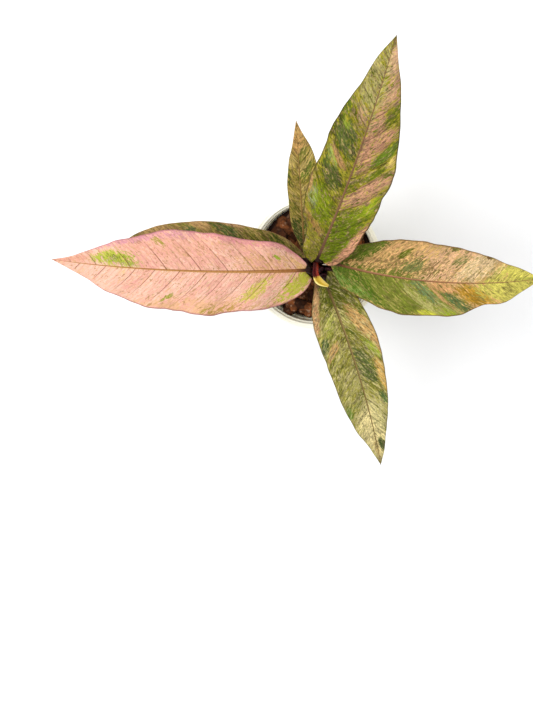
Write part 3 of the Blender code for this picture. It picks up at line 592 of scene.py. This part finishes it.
def pine_bark(light, dark, deep):
    """Pine bark: each chip has its own tone, darkened by painted shade at its underside and edges,
    with layered grain, dark pits, and pale flecks that are partly dust and partly painted highlight.
    """
    material, tree, shader = new_material("bark")
    place = add(tree, "TexCoord", {}, "Object")
    tone, = readings(tree, "tone")
    grain = grained(tree, (0.09, 0.42, 0.9), 6.0, 0.65, (0.4, 0.2, 0.9))
    pits = add(tree, "TexVoronoi", {"Vector": place, "Scale": 0.52 / MM}, "Distance")
    cloud = grained(tree, [0.16] * 3, 3.0)
    dust = grained(tree, [0.33] * 3, 4.0)
    # Pale flecks on the chip tops, partly dust and partly painted highlight; they follow the shaded
    # tone, so they fall on the lit tops
    dust_and_highlight = add(tree, "Math", {0: where(tree, (dust, 0.56, 0.68)), 1: tone},
                operation="MULTIPLY")
    colour = layered(
        tree, dark, (tone, 1.0, light), (where(tree, (cloud, 0.4, 0.65)), 0.45, dark),
        (where(tree, (grain, 0.42, 0.62)), 0.5, deep),
        (where(tree, (pits, 0.22, 0.05)), 0.5, "#1A0E09"), (dust_and_highlight, 0.6, "#B79A80"))
    rough = weighted(tree, 0.95, (where(tree, (grain, 0.3, 0.7)), -0.33))
    surfaced(tree, shader, colour, rough, 0.12, (grain, 0.8, 0.7))
    return material


def shoot_material():
    """Young shoot: wine red below, a yellow boat shaped tip with a pale rim."""
    material, tree, shader = new_material("shoot_tissue")
    share, side = readings(tree, "share", "side")
    grain = grained(tree, [0.9] * 3, 4.0)
    red = layered(tree, "#4A0A0C", (where(tree, (side, -0.2, 0.9)), 1.0, "#902C14"),
                  (where(tree, (grain, 0.45, 0.65)), 0.6, "#2A0609"))
    yellow = layered(
        tree, "#B4942C", (where(tree, (distance(tree, side), 0.55, 0.95)), 1.0, "#E0CC78"),
        (where(tree, (grain, 0.5, 0.7)), 0.4, "#8C7A1C"))
    edge = weighted(tree, share, (grain, 0.12))
    colour = layered(tree, red, (where(tree, (edge, 0.80, 0.85)), 1.0, yellow))
    surfaced(tree, shader, colour, 0.4, 0.3, (grain, 0.3, 0.2))
    return material


def sheath_material(name, dark, light, pale_from):
    """Dried sheath: papery, ribbed by fibres, pale and torn from a share of its length."""
    material, tree, shader = new_material(name)
    grain = grained(tree, (1.8, 1.8, 0.2), 5.0)
    share, = readings(tree, "share")
    edge = weighted(tree, share, (grain, 0.14))
    colour = layered(tree, dark, (where(tree, (grain, 0.4, 0.65)), 1.0, light),
                     (where(tree, (edge, pale_from, pale_from + 0.05)), 1.0, "#C9BFAE"))
    surfaced(tree, shader, colour, 0.6, 0.12, (grain, 0.5, 0.3))
    return material


def stem_material():
    """Crown: woody brown, ringed by leaf scars and dry skin."""
    material, tree, shader = new_material("stem_tissue")
    grain = grained(tree, (0.26, 0.26, 1.1), 6.0)
    colour = layered(tree, "#1C120C", (where(tree, (grain, 0.38, 0.62)), 1.0, "#33241A"))
    surfaced(tree, shader, colour, 0.75, 0.1, (grain, 0.6, 0.5))
    return material


def floor_paper(colour):
    """White paper floor with a barely seen tooth."""
    material, tree, shader = new_material("floor_paper")
    grain = grained(tree, [0.06] * 3, 3.0)
    colour = layered(tree, colour, (where(tree, (grain, 0.3, 0.7)), 0.15, "#ECECED"))
    connect(tree, shader, {"Base Color": colour, "Roughness": 0.9})
    return material


# Mesh helpers

def finish_piece(name, bm, materials, node):
    """Mesh object at the origin that rides on the root and stands for its node."""
    mesh = bpy.data.meshes.new(name)
    bm.to_mesh(mesh)
    bm.free()
    for polygon in mesh.polygons:
        polygon.use_smooth = True
    for material in materials:
        mesh.materials.append(material)
    piece = bpy.data.objects.new(name, mesh)
    bpy.context.scene.collection.objects.link(piece)
    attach(piece, "root")
    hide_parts(node)
    return piece


def turned(profile, steps, centre=(0, 0)):
    """Closed body turned about a vertical axis from a half section in mm."""
    bm = bmesh.new()
    verts = [bm.verts.new((r * MM, 0, z * MM)) for r, z in profile]
    edges = [bm.edges.new(pair) for pair in zip(verts, verts[1:])]
    bmesh.ops.spin(bm, geom=verts + edges, cent=(0, 0, 0), axis=(0, 0, 1), dvec=(0, 0, 0),
                   angle=2 * math.pi, steps=steps, use_merge=True, use_duplicate=False)
    bmesh.ops.remove_doubles(bm, verts=bm.verts, dist=0.000002)
    bmesh.ops.recalc_face_normals(bm, faces=bm.faces)
    bmesh.ops.translate(bm, verts=bm.verts, vec=(centre[0] * MM, centre[1] * MM, 0))
    return bm


def pierced(bm, count, circle, radius):
    """The body with a ring of round drain holes cut up through its floor.

    The rods are turned a little, so that none of their corners meets an edge of the floor.
    """
    rods = bmesh.new()
    for k in range(count):
        angle = 2 * math.pi * (k + 0.5) / count
        place = Vector((circle * math.cos(angle), circle * math.sin(angle), 3)) * MM
        bmesh.ops.create_cone(rods, cap_ends=True, segments=DRAIN_SIDES, radius1=radius * MM,
                              radius2=radius * MM, depth=DRAIN_DEPTH * MM,
                              matrix=Matrix.Translation(place) @ Matrix.Rotation(0.1, 4, "Z"))
    tools = []
    for name, body in (("whole", bm), ("rods", rods)):
        mesh = bpy.data.meshes.new(name)
        body.to_mesh(mesh)
        body.free()
        tools.append(bpy.data.objects.new(name, mesh))
        bpy.context.scene.collection.objects.link(tools[-1])
    cut = tools[0].modifiers.new("drain", "BOOLEAN")
    cut.object = tools[1]
    cut.solver = "EXACT"
    drawn = tools[0].evaluated_get(bpy.context.evaluated_depsgraph_get())
    bm = bmesh.new()
    bm.from_mesh(drawn.to_mesh())
    bmesh.ops.remove_doubles(bm, verts=bm.verts, dist=0.000002)
    bmesh.ops.triangulate(bm, faces=[f for f in bm.faces if len(f.verts) > 4])
    for tool in tools:
        bpy.data.objects.remove(tool)
    return bm


def sheet(bm, rows, columns):
    """Flat grid of rows by columns faces. Returns its verts with their two shares, 0 to 1."""
    made = bmesh.ops.create_grid(bm, x_segments=rows, y_segments=columns, size=0.5)["verts"]
    return [(v, v.co.x + 0.5, v.co.y + 0.5) for v in made]


def stalk_frame(along, left):
    """Left and upward directions of a stalk that runs along, with left as near as can be."""
    along = along.normalized()
    left = (left - along * left.dot(along)).normalized()
    return left, along.cross(left)


def tube(bm, rows, sides, section, layers, slot):
    """Closed stalk: section(share, angle) gives a point in mm, its share value and side value."""
    before = set(bm.faces)
    placed = sheet(bm, rows, sides)
    for vert, along, around in placed:
        point, share, side = section(along, 2 * math.pi * around)
        vert.co = point * MM
        vert[layers[0]] = share
        vert[layers[1]] = side
    verts = [vert for vert, _, _ in placed]
    bmesh.ops.remove_doubles(bm, verts=verts, dist=0.000004)
    faces = [f for f in bm.faces if f not in before]
    rims = list({e for f in faces for e in f.edges if e.is_boundary})
    faces += bmesh.ops.holes_fill(bm, edges=rims, sides=0)["faces"]
    bmesh.ops.recalc_face_normals(bm, faces=faces)
    for face in faces:
        face.material_index = slot


# Leaves

def blade_frame(leaf, t):
    """Direction along the midrib, to the left side, and up, at share t of the length."""
    heading = math.radians(leaf["heading"] + leaf["sweep"] * (t - 0.5))
    pitch = math.radians(leaf["rise"] + (leaf["fall"] - leaf["rise"]) * t)
    along = Vector((math.cos(pitch) * math.cos(heading), math.cos(pitch) * math.sin(heading),
                    math.sin(pitch)))
    left = Vector((-math.sin(heading), math.cos(heading), 0))
    return along, left, along.cross(left)


def midrib(leaf):
    """Function that gives the midrib's point at a share of its length."""
    point = Vector(leaf["base"])
    table = [point.copy()]
    for i in range(MIDRIB_STEPS):
        along, _, _ = blade_frame(leaf, (i + 0.5) / MIDRIB_STEPS)
        point = point + along * (leaf["length"] / MIDRIB_STEPS)
        table.append(point.copy())

    def at(t):
        i = min(int(t * MIDRIB_STEPS), MIDRIB_STEPS - 1)
        return table[i].lerp(table[i + 1], t * MIDRIB_STEPS - i)

    return at


def vein_start(leaf, t, u, width):
    """Where along the midrib, in mm, the side vein through this point starts, and its count."""
    x = abs(u) * width
    slant = leaf["slant"][0 if u >= 0 else 1]
    start = t * leaf["length"] - slant * x - VEIN_CURVE * x * x / max(width, 1)
    share = start / leaf["length"]
    veins = leaf["veins_left" if u >= 0 else "veins_right"]
    i = min(sum(1 for vein in veins[1:-1] if vein <= share), len(veins) - 2)
    return start, i + (share - veins[i]) / (veins[i + 1] - veins[i])


def blade_rows(leaf, rows):
    """For each row: share, midrib point, frame, and half widths left and right."""
    rib = midrib(leaf)
    table = []
    for i in range(rows + 1):
        t = i / rows
        round_base = math.sqrt(1 - (1 - min(t / 0.035, 1)) ** 2) * 0.4 + 0.6
        wide = []
        for side in ("left", "right"):
            bulge = sum(mm * math.exp(-(((t - middle) / half) ** 2))
                        for key, middle, half, mm in leaf.get("bulges", ()) if key == side)
            wide.append(max(smooth_value(t, STATIONS, leaf[side]) + bulge, 0.12) * round_base)
        table.append((t, rib(t), blade_frame(leaf, t), wide))
    return table


def rib_half_width(leaf, t):
    """Half width in mm of the midrib's upper side."""
    base, tip = leaf["rib"]
    return base + (tip - base) * t ** 0.85


def blade_surface(leaf, row, u, settings):
    """Point of the upper surface in mm, upward direction, and the point's attributes."""
    t, point, (along, left, up), wide = row
    a = abs(u)
    width = wide[0] if u >= 0 else wide[1]
    name = "left" if u >= 0 else "right"
    lift = width * (leaf["fold"] * a + (leaf["curl"] - leaf["fold"]) * a * a / 2)
    ripple = math.sin(2 * math.pi * (leaf["waves"] * t + leaf["phase_" + name]))
    lift += leaf["wave"] * ripple * a * a * min(width / WAVE_FULL_WIDTH, 1)
    back = leaf["lobe"][0 if u >= 0 else 1] * max(1 - t / LOBE_REACH, 0) ** 2 * a**1.5
    start, number = vein_start(leaf, t, u, width)
    puff = abs(math.sin(math.pi * number)) ** 0.7 - 0.6
    puff *= fade(0.03, 0.2, a) * fade(1.0, 0.8, a) * min(width / 20, 1)
    lift += leaf["quilt"] * settings.quilting * puff
    rough = noise.noise(Vector((t * leaf["length"] / 7, u * 3.1, leaf["foot"])))
    lift += 0.5 * leaf["quilt"] * rough * fade(0.05, 0.3, a)
    edge = noise.noise(Vector((t * leaf["length"] / 9, 3.0 * (name == "left"), leaf["foot"])))
    side = width * u * (1 + 0.03 * edge * a**4)
    rib_half = rib_half_width(leaf, t)
    ridge = math.exp(-((side / rib_half) ** 2))
    lift += settings.rib_height * 1000 * ridge * (1 - 0.7 * t)
    values = {"share": t, "side": u, "number": number, "start": start, "out": side,
              "rib": side / rib_half}
    return point + left * side + up * lift - along * back, up, values


def across_share(k, half):
    """Side share of column k: close together at the midrib, wider apart outside."""
    return math.copysign(abs(k / half) ** 1.45, k) if k else 0.0


def blade_bottom(t, top, up, side, u, settings):
    """Under surface below a point of the upper one, with the rib standing down."""
    thick = settings.thickness * 1000 * (1 - 0.55 * abs(u) ** 6)
    rib_half = RIB_WIDTH[0] + (RIB_WIDTH[1] - RIB_WIDTH[0]) * t
    deep = RIB_DEPTH[0] + (RIB_DEPTH[1] - RIB_DEPTH[0]) * t
    return top - up * (thick + deep * math.exp(-((side / rib_half) ** 2) * 1.6))


def petiole_section(leaf):
    """Function for tube(): the stalk from its foot in the crown to the blade."""
    bearing = math.radians(leaf["foot"])
    foot = Vector((CROWN.x + leaf["circle"] * math.cos(bearing),
                   CROWN.y + leaf["circle"] * math.sin(bearing), PETIOLE_FOOT))
    along, left, _ = blade_frame(leaf, 0)
    low = foot + Vector((0, 0, PETIOLE_STRAIGHT))
    high = Vector(leaf["base"]) - along * PETIOLE_GAP
    reach = (high - low).length
    one = low + Vector((0, 0, reach * 0.4))
    two = high - along * KNEE_LENGTH
    end = high + along * PETIOLE_BURIED

    def section(share, angle):
        if share < 0.16:
            point, way, s = foot.lerp(low, share / 0.16), Vector((0, 0, 1)), 0
        elif share < 0.84:
            s = (share - 0.16) / 0.68
            point = (low * (1 - s) ** 3 + one * (3 * s * (1 - s) ** 2)
                     + two * (3 * s * s * (1 - s)) + high * s**3)
            way = ((one - low) * (1 - s) ** 2 + (two - one) * (2 * s * (1 - s))
                   + (high - two) * s * s)
        else:
            s = (share - 0.84) / 0.16
            point, way = high.lerp(end, s), along
        radius = smooth_value(min(max((share - 0.16) / 0.68, 0), 1), PETIOLE_STAGES,
                              PETIOLE_RADII)
        if share > 0.84:
            radius *= 1 - 0.45 * s
        side, up = stalk_frame(way, left)
        sink = fade(0.72, 0.86, share)
        point = point - up * (sink * max(radius - 0.9, 0))
        groove = 1 - 0.1 * max(math.sin(angle), 0) ** 8
        point = point + (side * math.cos(angle) + up * math.sin(angle)) * radius * groove
        return point, share - 1, 0

    return section


def build_leaf(name, leaf, settings):
    """One leaf in one closed body: upper and under side of the blade, and its petiole."""
    look = LOOKS[name]
    rows = settings.rows if leaf["length"] > LONG_LEAF else int(settings.rows * 0.7)
    half = settings.columns
    bm = bmesh.new()
    layers = {key: bm.verts.layers.float.new(key)
              for key in ("share", "side", "number", "start", "out", "rib")}
    table = blade_rows(leaf, rows)
    loops = []
    for lower in (False, True):
        placed = sheet(bm, rows, 2 * half)
        for vert, along, across in placed:
            row = table[round(along * rows)]
            u = across_share(round(across * 2 * half) - half, half)
            point, up, values = blade_surface(leaf, row, u, settings)
            if lower:
                point = blade_bottom(row[0], point, up, values["out"], u, settings)
            vert.co = point * MM
            for key, layer in layers.items():
                vert[layer] = values[key]
        verts = {vert for vert, _, _ in placed}
        faces = [f for f in bm.faces if f.verts[0] in verts]
        for face in faces:
            face.material_index = int(lower)
        if lower:
            bmesh.ops.reverse_faces(bm, faces=faces)
        loops += list({e for f in faces for e in f.edges if e.is_boundary})
    bmesh.ops.bridge_loops(bm, edges=loops)
    bmesh.ops.recalc_face_normals(bm, faces=bm.faces)
    tube(bm, *PETIOLE_MESH, petiole_section(leaf), (layers["share"], layers["side"]), 2)
    materials = [leaf_top(name, leaf, look, settings.gloss), leaf_underside(name, leaf, look),
                 stalk_material(name + "_petiole", "#1E0A0A", look["rib_dark"], "#341816")]
    return finish_piece(name + "_grown", bm, materials, name)


# Shoot, sheath and dry scraps

def path_value(path, s):
    """Point, half width and half depth at share s of a path of control points."""
    knots = [i / (len(path) - 1) for i in range(len(path))]
    point = Vector([smooth_value(s, knots, [p[0][axis] for p in path]) for axis in range(3)])
    return point, smooth_value(s, knots, [p[1] for p in path]), smooth_value(
        s, knots, [p[2] for p in path])


def strap_section(path, crease, torn):
    """Function for tube(): a flattened, creased, pointed strap along a path."""
    def section(share, angle):
        here, wide, deep = path_value(path, share)
        before = path_value(path, max(share - 0.01, 0))[0]
        after = path_value(path, min(share + 0.01, 1))[0]
        left, up = stalk_frame(after - before, Vector((1, 0, 0)))
        wide, deep = max(wide, 0.25), max(deep, 0.2)
        flare = fade(0.25, 0.6, share)
        dip = crease * flare * max(math.sin(angle), 0) ** 4
        frayed = 1 + torn * flare * noise.noise(Vector((share * 20, angle, 2.0)))
        point = here + left * (wide * frayed * math.cos(angle)) + up * (
            deep * math.sin(angle) * (1 - dip))
        return point, share, math.cos(angle)
    return section


def build_strap(name, path, crease, torn, material, node):
    """Shoot, sheath or scrap that stands for a node, as one closed strap."""
    bm = bmesh.new()
    layers = [bm.verts.layers.float.new(key) for key in ("share", "side")]
    tube(bm, *STRAP_MESH, strap_section(path, crease, torn), layers, 0)
    return finish_piece(name + "_grown", bm, [material], node)


# Growing mix

def heap(x, y):
    """How much higher the mix lies at this place, in mm: it is pushed up at the wall."""
    sides = fade(12, 40, -0.43 * x - 0.9 * y) + 0.8 * fade(10, 40, -0.7 * x + 0.7 * y)
    return WALL_HEAP * fade(24, 42, math.hypot(x, y)) + SIDE_HEAP * sides


def add_chip(whole, draw, settings, spot, level, size):
    """One weathered bark chip lying on the mix: a rounded block, bent, broken in ledges, leaning;
    its tone is darkened towards its underside and edges as painted shade.
    """
    bm = bmesh.new()
    tone = bm.verts.layers.float.new("tone")
    bmesh.ops.create_cube(bm, size=1.0)
    bmesh.ops.subdivide_edges(bm, edges=bm.edges, cuts=4, use_grid_fill=True)
    shape = Vector((draw.uniform(0, 90), draw.uniform(0, 90), draw.uniform(0, 90)))
    shade = 0.1 + 0.9 * draw.random() ** 1.5
    turn = Matrix.Rotation(draw.uniform(0, 2 * math.pi), 3, "Z")
    lean = Matrix.Rotation(draw.uniform(-CHIP_LEAN, CHIP_LEAN), 3, "X") @ Matrix.Rotation(
        draw.uniform(-CHIP_LEAN, CHIP_LEAN), 3, "Y")
    for vert in bm.verts:
        p = vert.co.copy()
        # Painted shade: the chip's own random tone, darkened towards its underside and edges
        tone_and_shade = shade * fade(-0.3, 0.3, p.z) * fade(0.75, 0.45, max(abs(p.x), abs(p.y)))
        p = p.lerp(p.normalized() * 0.58, 0.55)
        p.y *= 1 - 0.3 * (p.x + 0.5) * settings.roughness
        bend = Vector([noise.noise(p * 1.5 + shape + shift) for shift in CHIP_SHIFTS])
        bend *= 0.2 * settings.roughness
        ledge = round(noise.noise(p * 2.6 + shape * 1.7) * 3) / 3 * 0.1 * settings.roughness
        p = p + bend + p.normalized() * ledge
        p = Vector((p.x * size[0], p.y * size[1], p.z * size[2]))
        vert.co = (Vector((*spot, level)) + turn @ (lean @ p)) * MM
        vert[tone] = tone_and_shade
    chip = bpy.data.meshes.new("chip")
    bm.to_mesh(chip)
    bm.free()
    whole.from_mesh(chip)
    bpy.data.meshes.remove(chip)


def build_mix(settings):
    """The mix with its loose chips, which keep off the stem and out of each other's way."""
    bm = turned(MIX_PROFILE, 96)
    # The mix under the chips keeps tone 0, the darkest bark colour, which also serves as painted
    # shade in the gaps between chips
    bm.verts.layers.float.new("tone")
    for vert in bm.verts:
        if vert.co.z > 60 * MM:
            vert.co.z += heap(vert.co.x / MM, vert.co.y / MM) * MM
    draw = random.Random(settings.seed)
    placed = []
    for _ in range(30 * settings.chips):
        if len(placed) == settings.chips:
            break
        size = [draw.uniform(*limits) for limits in (CHIP_LENGTH, CHIP_WIDTH, CHIP_HEIGHT)]
        reach = CHIP_REACH - math.hypot(size[0], size[1]) * 0.5
        far = reach * math.sqrt(draw.random())
        bearing = draw.uniform(0, 2 * math.pi)
        spot = Vector((far * math.cos(bearing), far * math.sin(bearing)))
        near = sum(1 for other in placed if (other - spot).length < CHIP_CLOSE)
        if (spot - CROWN).length < STEM_HOLE + size[0] * 0.5 or near > 1:
            continue
        placed.append(spot)
        level = CHIP_LEVEL + heap(*spot) + CHIP_LIFT * near + draw.uniform(*CHIP_SPREAD)
        add_chip(bm, draw, settings, spot, level, size)
    add_chip(bm, draw, settings, WALL_CHIP, WALL_CHIP_LEVEL, WALL_CHIP_SIZE)
    bmesh.ops.recalc_face_normals(bm, faces=bm.faces)
    material = pine_bark("#93562E", "#241009", "#120603")
    return finish_piece("growing_mix_chips", bm, [material], "growing_mix")


# Settings, one group for each group of pieces

class PotSettings(bpy.types.PropertyGroup):
    steps: IntProperty(name="Steps", description="Steps round the pot", default=144, min=24)
    colour: FloatVectorProperty(name="Colour", description="Colour of the plastic",
                                subtype="COLOR", size=4, default=linear("#FAF7E5"))
    roughness: FloatProperty(name="Roughness", description="Roughness of the plastic",
                             default=0.34, min=0.05, max=1, subtype="FACTOR")


class MixSettings(bpy.types.PropertyGroup):
    chips: IntProperty(name="Chips", description="Bark chips in the top layer", default=130,
                       min=20)
    roughness: FloatProperty(name="Roughness", description="How broken the chips are",
                             default=1.0, min=0, max=2)
    seed: IntProperty(name="Seed", description="Seed for the chips", default=7)


class StemSettings(bpy.types.PropertyGroup):
    steps: IntProperty(name="Steps", description="Steps round the stem", default=72, min=12)


class LeafSettings(bpy.types.PropertyGroup):
    rows: IntProperty(name="Rows", description="Rows along a long blade", default=200, min=20)
    columns: IntProperty(name="Columns", description="Columns on each side of the midrib",
                         default=34, min=8)
    thickness: FloatProperty(name="Thickness", description="Thickness of the blade",
                             default=0.55 * MM, unit="LENGTH")
    rib_height: FloatProperty(name="Rib height", description="Height of the midrib above",
                              default=0.4 * MM, unit="LENGTH")
    quilting: FloatProperty(name="Quilting", description="Swelling between the side veins",
                            default=1.0, min=0, max=3)
    gloss: FloatProperty(name="Roughness", description="Roughness of the upper side",
                         default=0.42, min=0.1, max=1, subtype="FACTOR")


class ShootSettings(bpy.types.PropertyGroup):
    crease: FloatProperty(name="Crease", description="Depth of the shoot's channel",
                          default=0.75, min=0, max=1, subtype="FACTOR")
    fray: FloatProperty(name="Fray", description="Raggedness of the old sheath", default=0.5,
                        min=0, max=1, subtype="FACTOR")


class StudioSettings(bpy.types.PropertyGroup):
    floor_size: FloatProperty(name="Floor size", description="Side of the floor", default=6.0,
                              unit="LENGTH")
    floor_colour: FloatVectorProperty(name="Floor colour", description="Colour of the floor",
                                      subtype="COLOR", size=4, default=linear("#EEEEEF"))
    key_power: FloatProperty(name="Key power", description="Power of the large soft light",
                             default=20.0, min=0, unit="POWER")
    sky: FloatProperty(name="Sky", description="Strength of the light from all round",
                       default=0.95, min=0)


class BuildPot(bpy.types.Operator):
    """Make the white pot with its lip, collar and inner steps"""
    bl_idname = "anthurium.pot"
    bl_label = "Pot"

    def execute(self, context):
        settings = context.scene.anthurium_pot
        bm = turned(POT_PROFILE, settings.steps)
        bm = pierced(bm, DRAIN_COUNT, DRAIN_CIRCLE, DRAIN_RADIUS)
        material = ivory_plastic(tuple(settings.colour), settings.roughness)
        pot = finish_piece("pot_moulded", bm, [material], "pot")
        pot.data.set_sharp_from_angle(angle=SHARP_ANGLE)
        return {"FINISHED"}


class BuildMix(bpy.types.Operator):
    """Make the growing mix with its loose bark chips"""
    bl_idname = "anthurium.mix"
    bl_label = "Growing mix"

    def execute(self, context):
        build_mix(context.scene.anthurium_mix)
        return {"FINISHED"}


class BuildStem(bpy.types.Operator):
    """Make the knotty crown that the leaves grow from"""
    bl_idname = "anthurium.stem"
    bl_label = "Stem"

    def execute(self, context):
        settings = context.scene.anthurium_stem
        bm = turned(STEM_PROFILE, settings.steps, CROWN)
        for vert in bm.verts:
            outward = Vector((vert.co.x - CROWN.x * MM, vert.co.y - CROWN.y * MM, 0)).normalized()
            knot = noise.noise(vert.co * 260) * STEM_KNOT
            vert.co += outward * (knot - STEM_SINK)
        finish_piece("stem_crown", bm, [stem_material()], "stem")
        return {"FINISHED"}


class BuildLeaves(bpy.types.Operator):
    """Grow the leaves with their petioles, veins and markings"""
    bl_idname = "anthurium.leaves"
    bl_label = "Leaves"

    def execute(self, context):
        for name, leaf in LEAVES.items():
            build_leaf(name, leaf, context.scene.anthurium_leaves)
        return {"FINISHED"}


class BuildShoot(bpy.types.Operator):
    """Grow the young shoot, the old sheath beside it and the dry scraps round them"""
    bl_idname = "anthurium.shoot"
    bl_label = "Shoot and sheath"

    def execute(self, context):
        settings = context.scene.anthurium_shoot
        build_strap("new_shoot", SHOOT_PATH, settings.crease, 0, shoot_material(),
                    "new_shoot")
        purple = sheath_material("dry_sheath", "#16060A", "#421820", NEVER_PALE)
        wine = sheath_material("wine_sheath", "#30090A", "#6A1E16", NEVER_PALE)
        pale = sheath_material("pale_scrap", "#2E161A", "#54383A", 0.74)
        build_strap("old_sheath", SHEATH_PATH, 0.6, settings.fray, purple,
                    "old_sheath")
        covers = {"scrap_behind": wine, "scrap_left": wine, "scrap_pale": pale}
        for name, path in SCRAP_PATHS.items():
            build_strap(name, path, 0.7, settings.fray, covers.get(name, purple),
                        "old_sheath")
        return {"FINISHED"}


class BuildStudio(bpy.types.Operator):
    """Set up the floor, the lights and the camera"""
    bl_idname = "anthurium.studio"
    bl_label = "Studio"

    def execute(self, context):
        settings = context.scene.anthurium_studio
        build_floor(settings)
        build_lights(settings)
        build_camera()
        return {"FINISHED"}


def build_floor(settings):
    """Flat paper floor under the pot."""
    bm = bmesh.new()
    bmesh.ops.create_grid(bm, x_segments=8, y_segments=8, size=settings.floor_size / 2)
    mesh = bpy.data.meshes.new("floor")
    bm.to_mesh(mesh)
    bm.free()
    mesh.materials.append(floor_paper(tuple(settings.floor_colour)))
    floor = bpy.data.objects.new("floor", mesh)
    bpy.context.scene.collection.objects.link(floor)


def build_lights(settings):
    """Pale sky all round, and one large soft light from the left."""
    world = bpy.data.worlds.new("soft_sky")
    bpy.context.scene.world = world
    world.use_nodes = True
    sky = world.node_tree.nodes["Background"]
    sky.inputs["Color"].default_value = linear(SKY_COLOUR)
    sky.inputs["Strength"].default_value = settings.sky
    lamp = bpy.data.lights.new("key_light", "AREA")
    lamp.shape = "RECTANGLE"
    lamp.size = KEY_SIZE
    lamp.size_y = KEY_SIZE
    lamp.energy = settings.key_power
    key = bpy.data.objects.new("key_light", lamp)
    bpy.context.scene.collection.objects.link(key)
    key.location = KEY_PLACE
    aim = KEY_AIM - key.location
    key.rotation_euler = aim.to_track_quat("-Z", "Y").to_euler()


def build_camera():
    """Camera almost straight above, turned so that the pot's rim falls on its pixel."""
    scene = bpy.context.scene
    scene.view_settings.view_transform = "Standard"
    focal_pixels = RIM_RADIUS_PIXELS * 2 / RIM_DIAMETER * CAMERA_DISTANCE
    rim = Vector((0, 0, RIM_HEIGHT))
    away = Vector((math.sin(CAMERA_TILT) * math.cos(CAMERA_BEARING),
                   math.sin(CAMERA_TILT) * math.sin(CAMERA_BEARING), math.cos(CAMERA_TILT)))
    right = Vector((0, 1, 0)).cross(away).normalized()
    facing = Matrix((right, away.cross(right), away)).transposed()
    toward = Vector((RIM_PIXEL[0] - IMAGE_SIZE[0] / 2, IMAGE_SIZE[1] / 2 - RIM_PIXEL[1],
                     -focal_pixels))
    shift = toward.rotation_difference(Vector((0, 0, -1))).to_matrix()
    data = bpy.data.cameras.new("camera")
    data.lens = focal_pixels * SENSOR_MM / max(IMAGE_SIZE)
    data.sensor_width = SENSOR_MM
    data.clip_start = 0.01
    camera = bpy.data.objects.new("camera", data)
    scene.collection.objects.link(camera)
    camera.matrix_world = Matrix.Translation(rim + away * CAMERA_DISTANCE) @ (
        facing @ shift).to_4x4()
    scene.camera = camera


class AnthuriumPanel(bpy.types.Panel):
    """Buttons and settings for each group of pieces"""
    bl_idname = "VIEW3D_PT_anthurium"
    bl_label = "Potted anthurium"
    bl_space_type = "VIEW_3D"
    bl_region_type = "UI"
    bl_category = "Anthurium"

    def draw(self, context):
        for key, (group, operator) in GROUPS.items():
            box = self.layout.box()
            box.operator(operator.bl_idname)
            for prop in group.__annotations__:
                box.prop(getattr(context.scene, "anthurium_" + key), prop)


GROUPS = {
    "pot": (PotSettings, BuildPot),
    "mix": (MixSettings, BuildMix),
    "stem": (StemSettings, BuildStem),
    "leaves": (LeafSettings, BuildLeaves),
    "shoot": (ShootSettings, BuildShoot),
    "studio": (StudioSettings, BuildStudio),
}


def register():
    for key, (group, operator) in GROUPS.items():
        bpy.utils.register_class(group)
        bpy.utils.register_class(operator)
        setattr(bpy.types.Scene, "anthurium_" + key, PointerProperty(type=group))
    bpy.utils.register_class(AnthuriumPanel)


def unregister():
    bpy.utils.unregister_class(AnthuriumPanel)
    for key, (group, operator) in reversed(GROUPS.items()):
        delattr(bpy.types.Scene, "anthurium_" + key)
        bpy.utils.unregister_class(operator)
        bpy.utils.unregister_class(group)


def main():
    register()
    bpy.ops.anthurium.pot()
    bpy.ops.anthurium.mix()
    bpy.ops.anthurium.stem()
    bpy.ops.anthurium.leaves()
    bpy.ops.anthurium.shoot()
    bpy.ops.anthurium.studio()


if __name__ == "__main__":
    main()
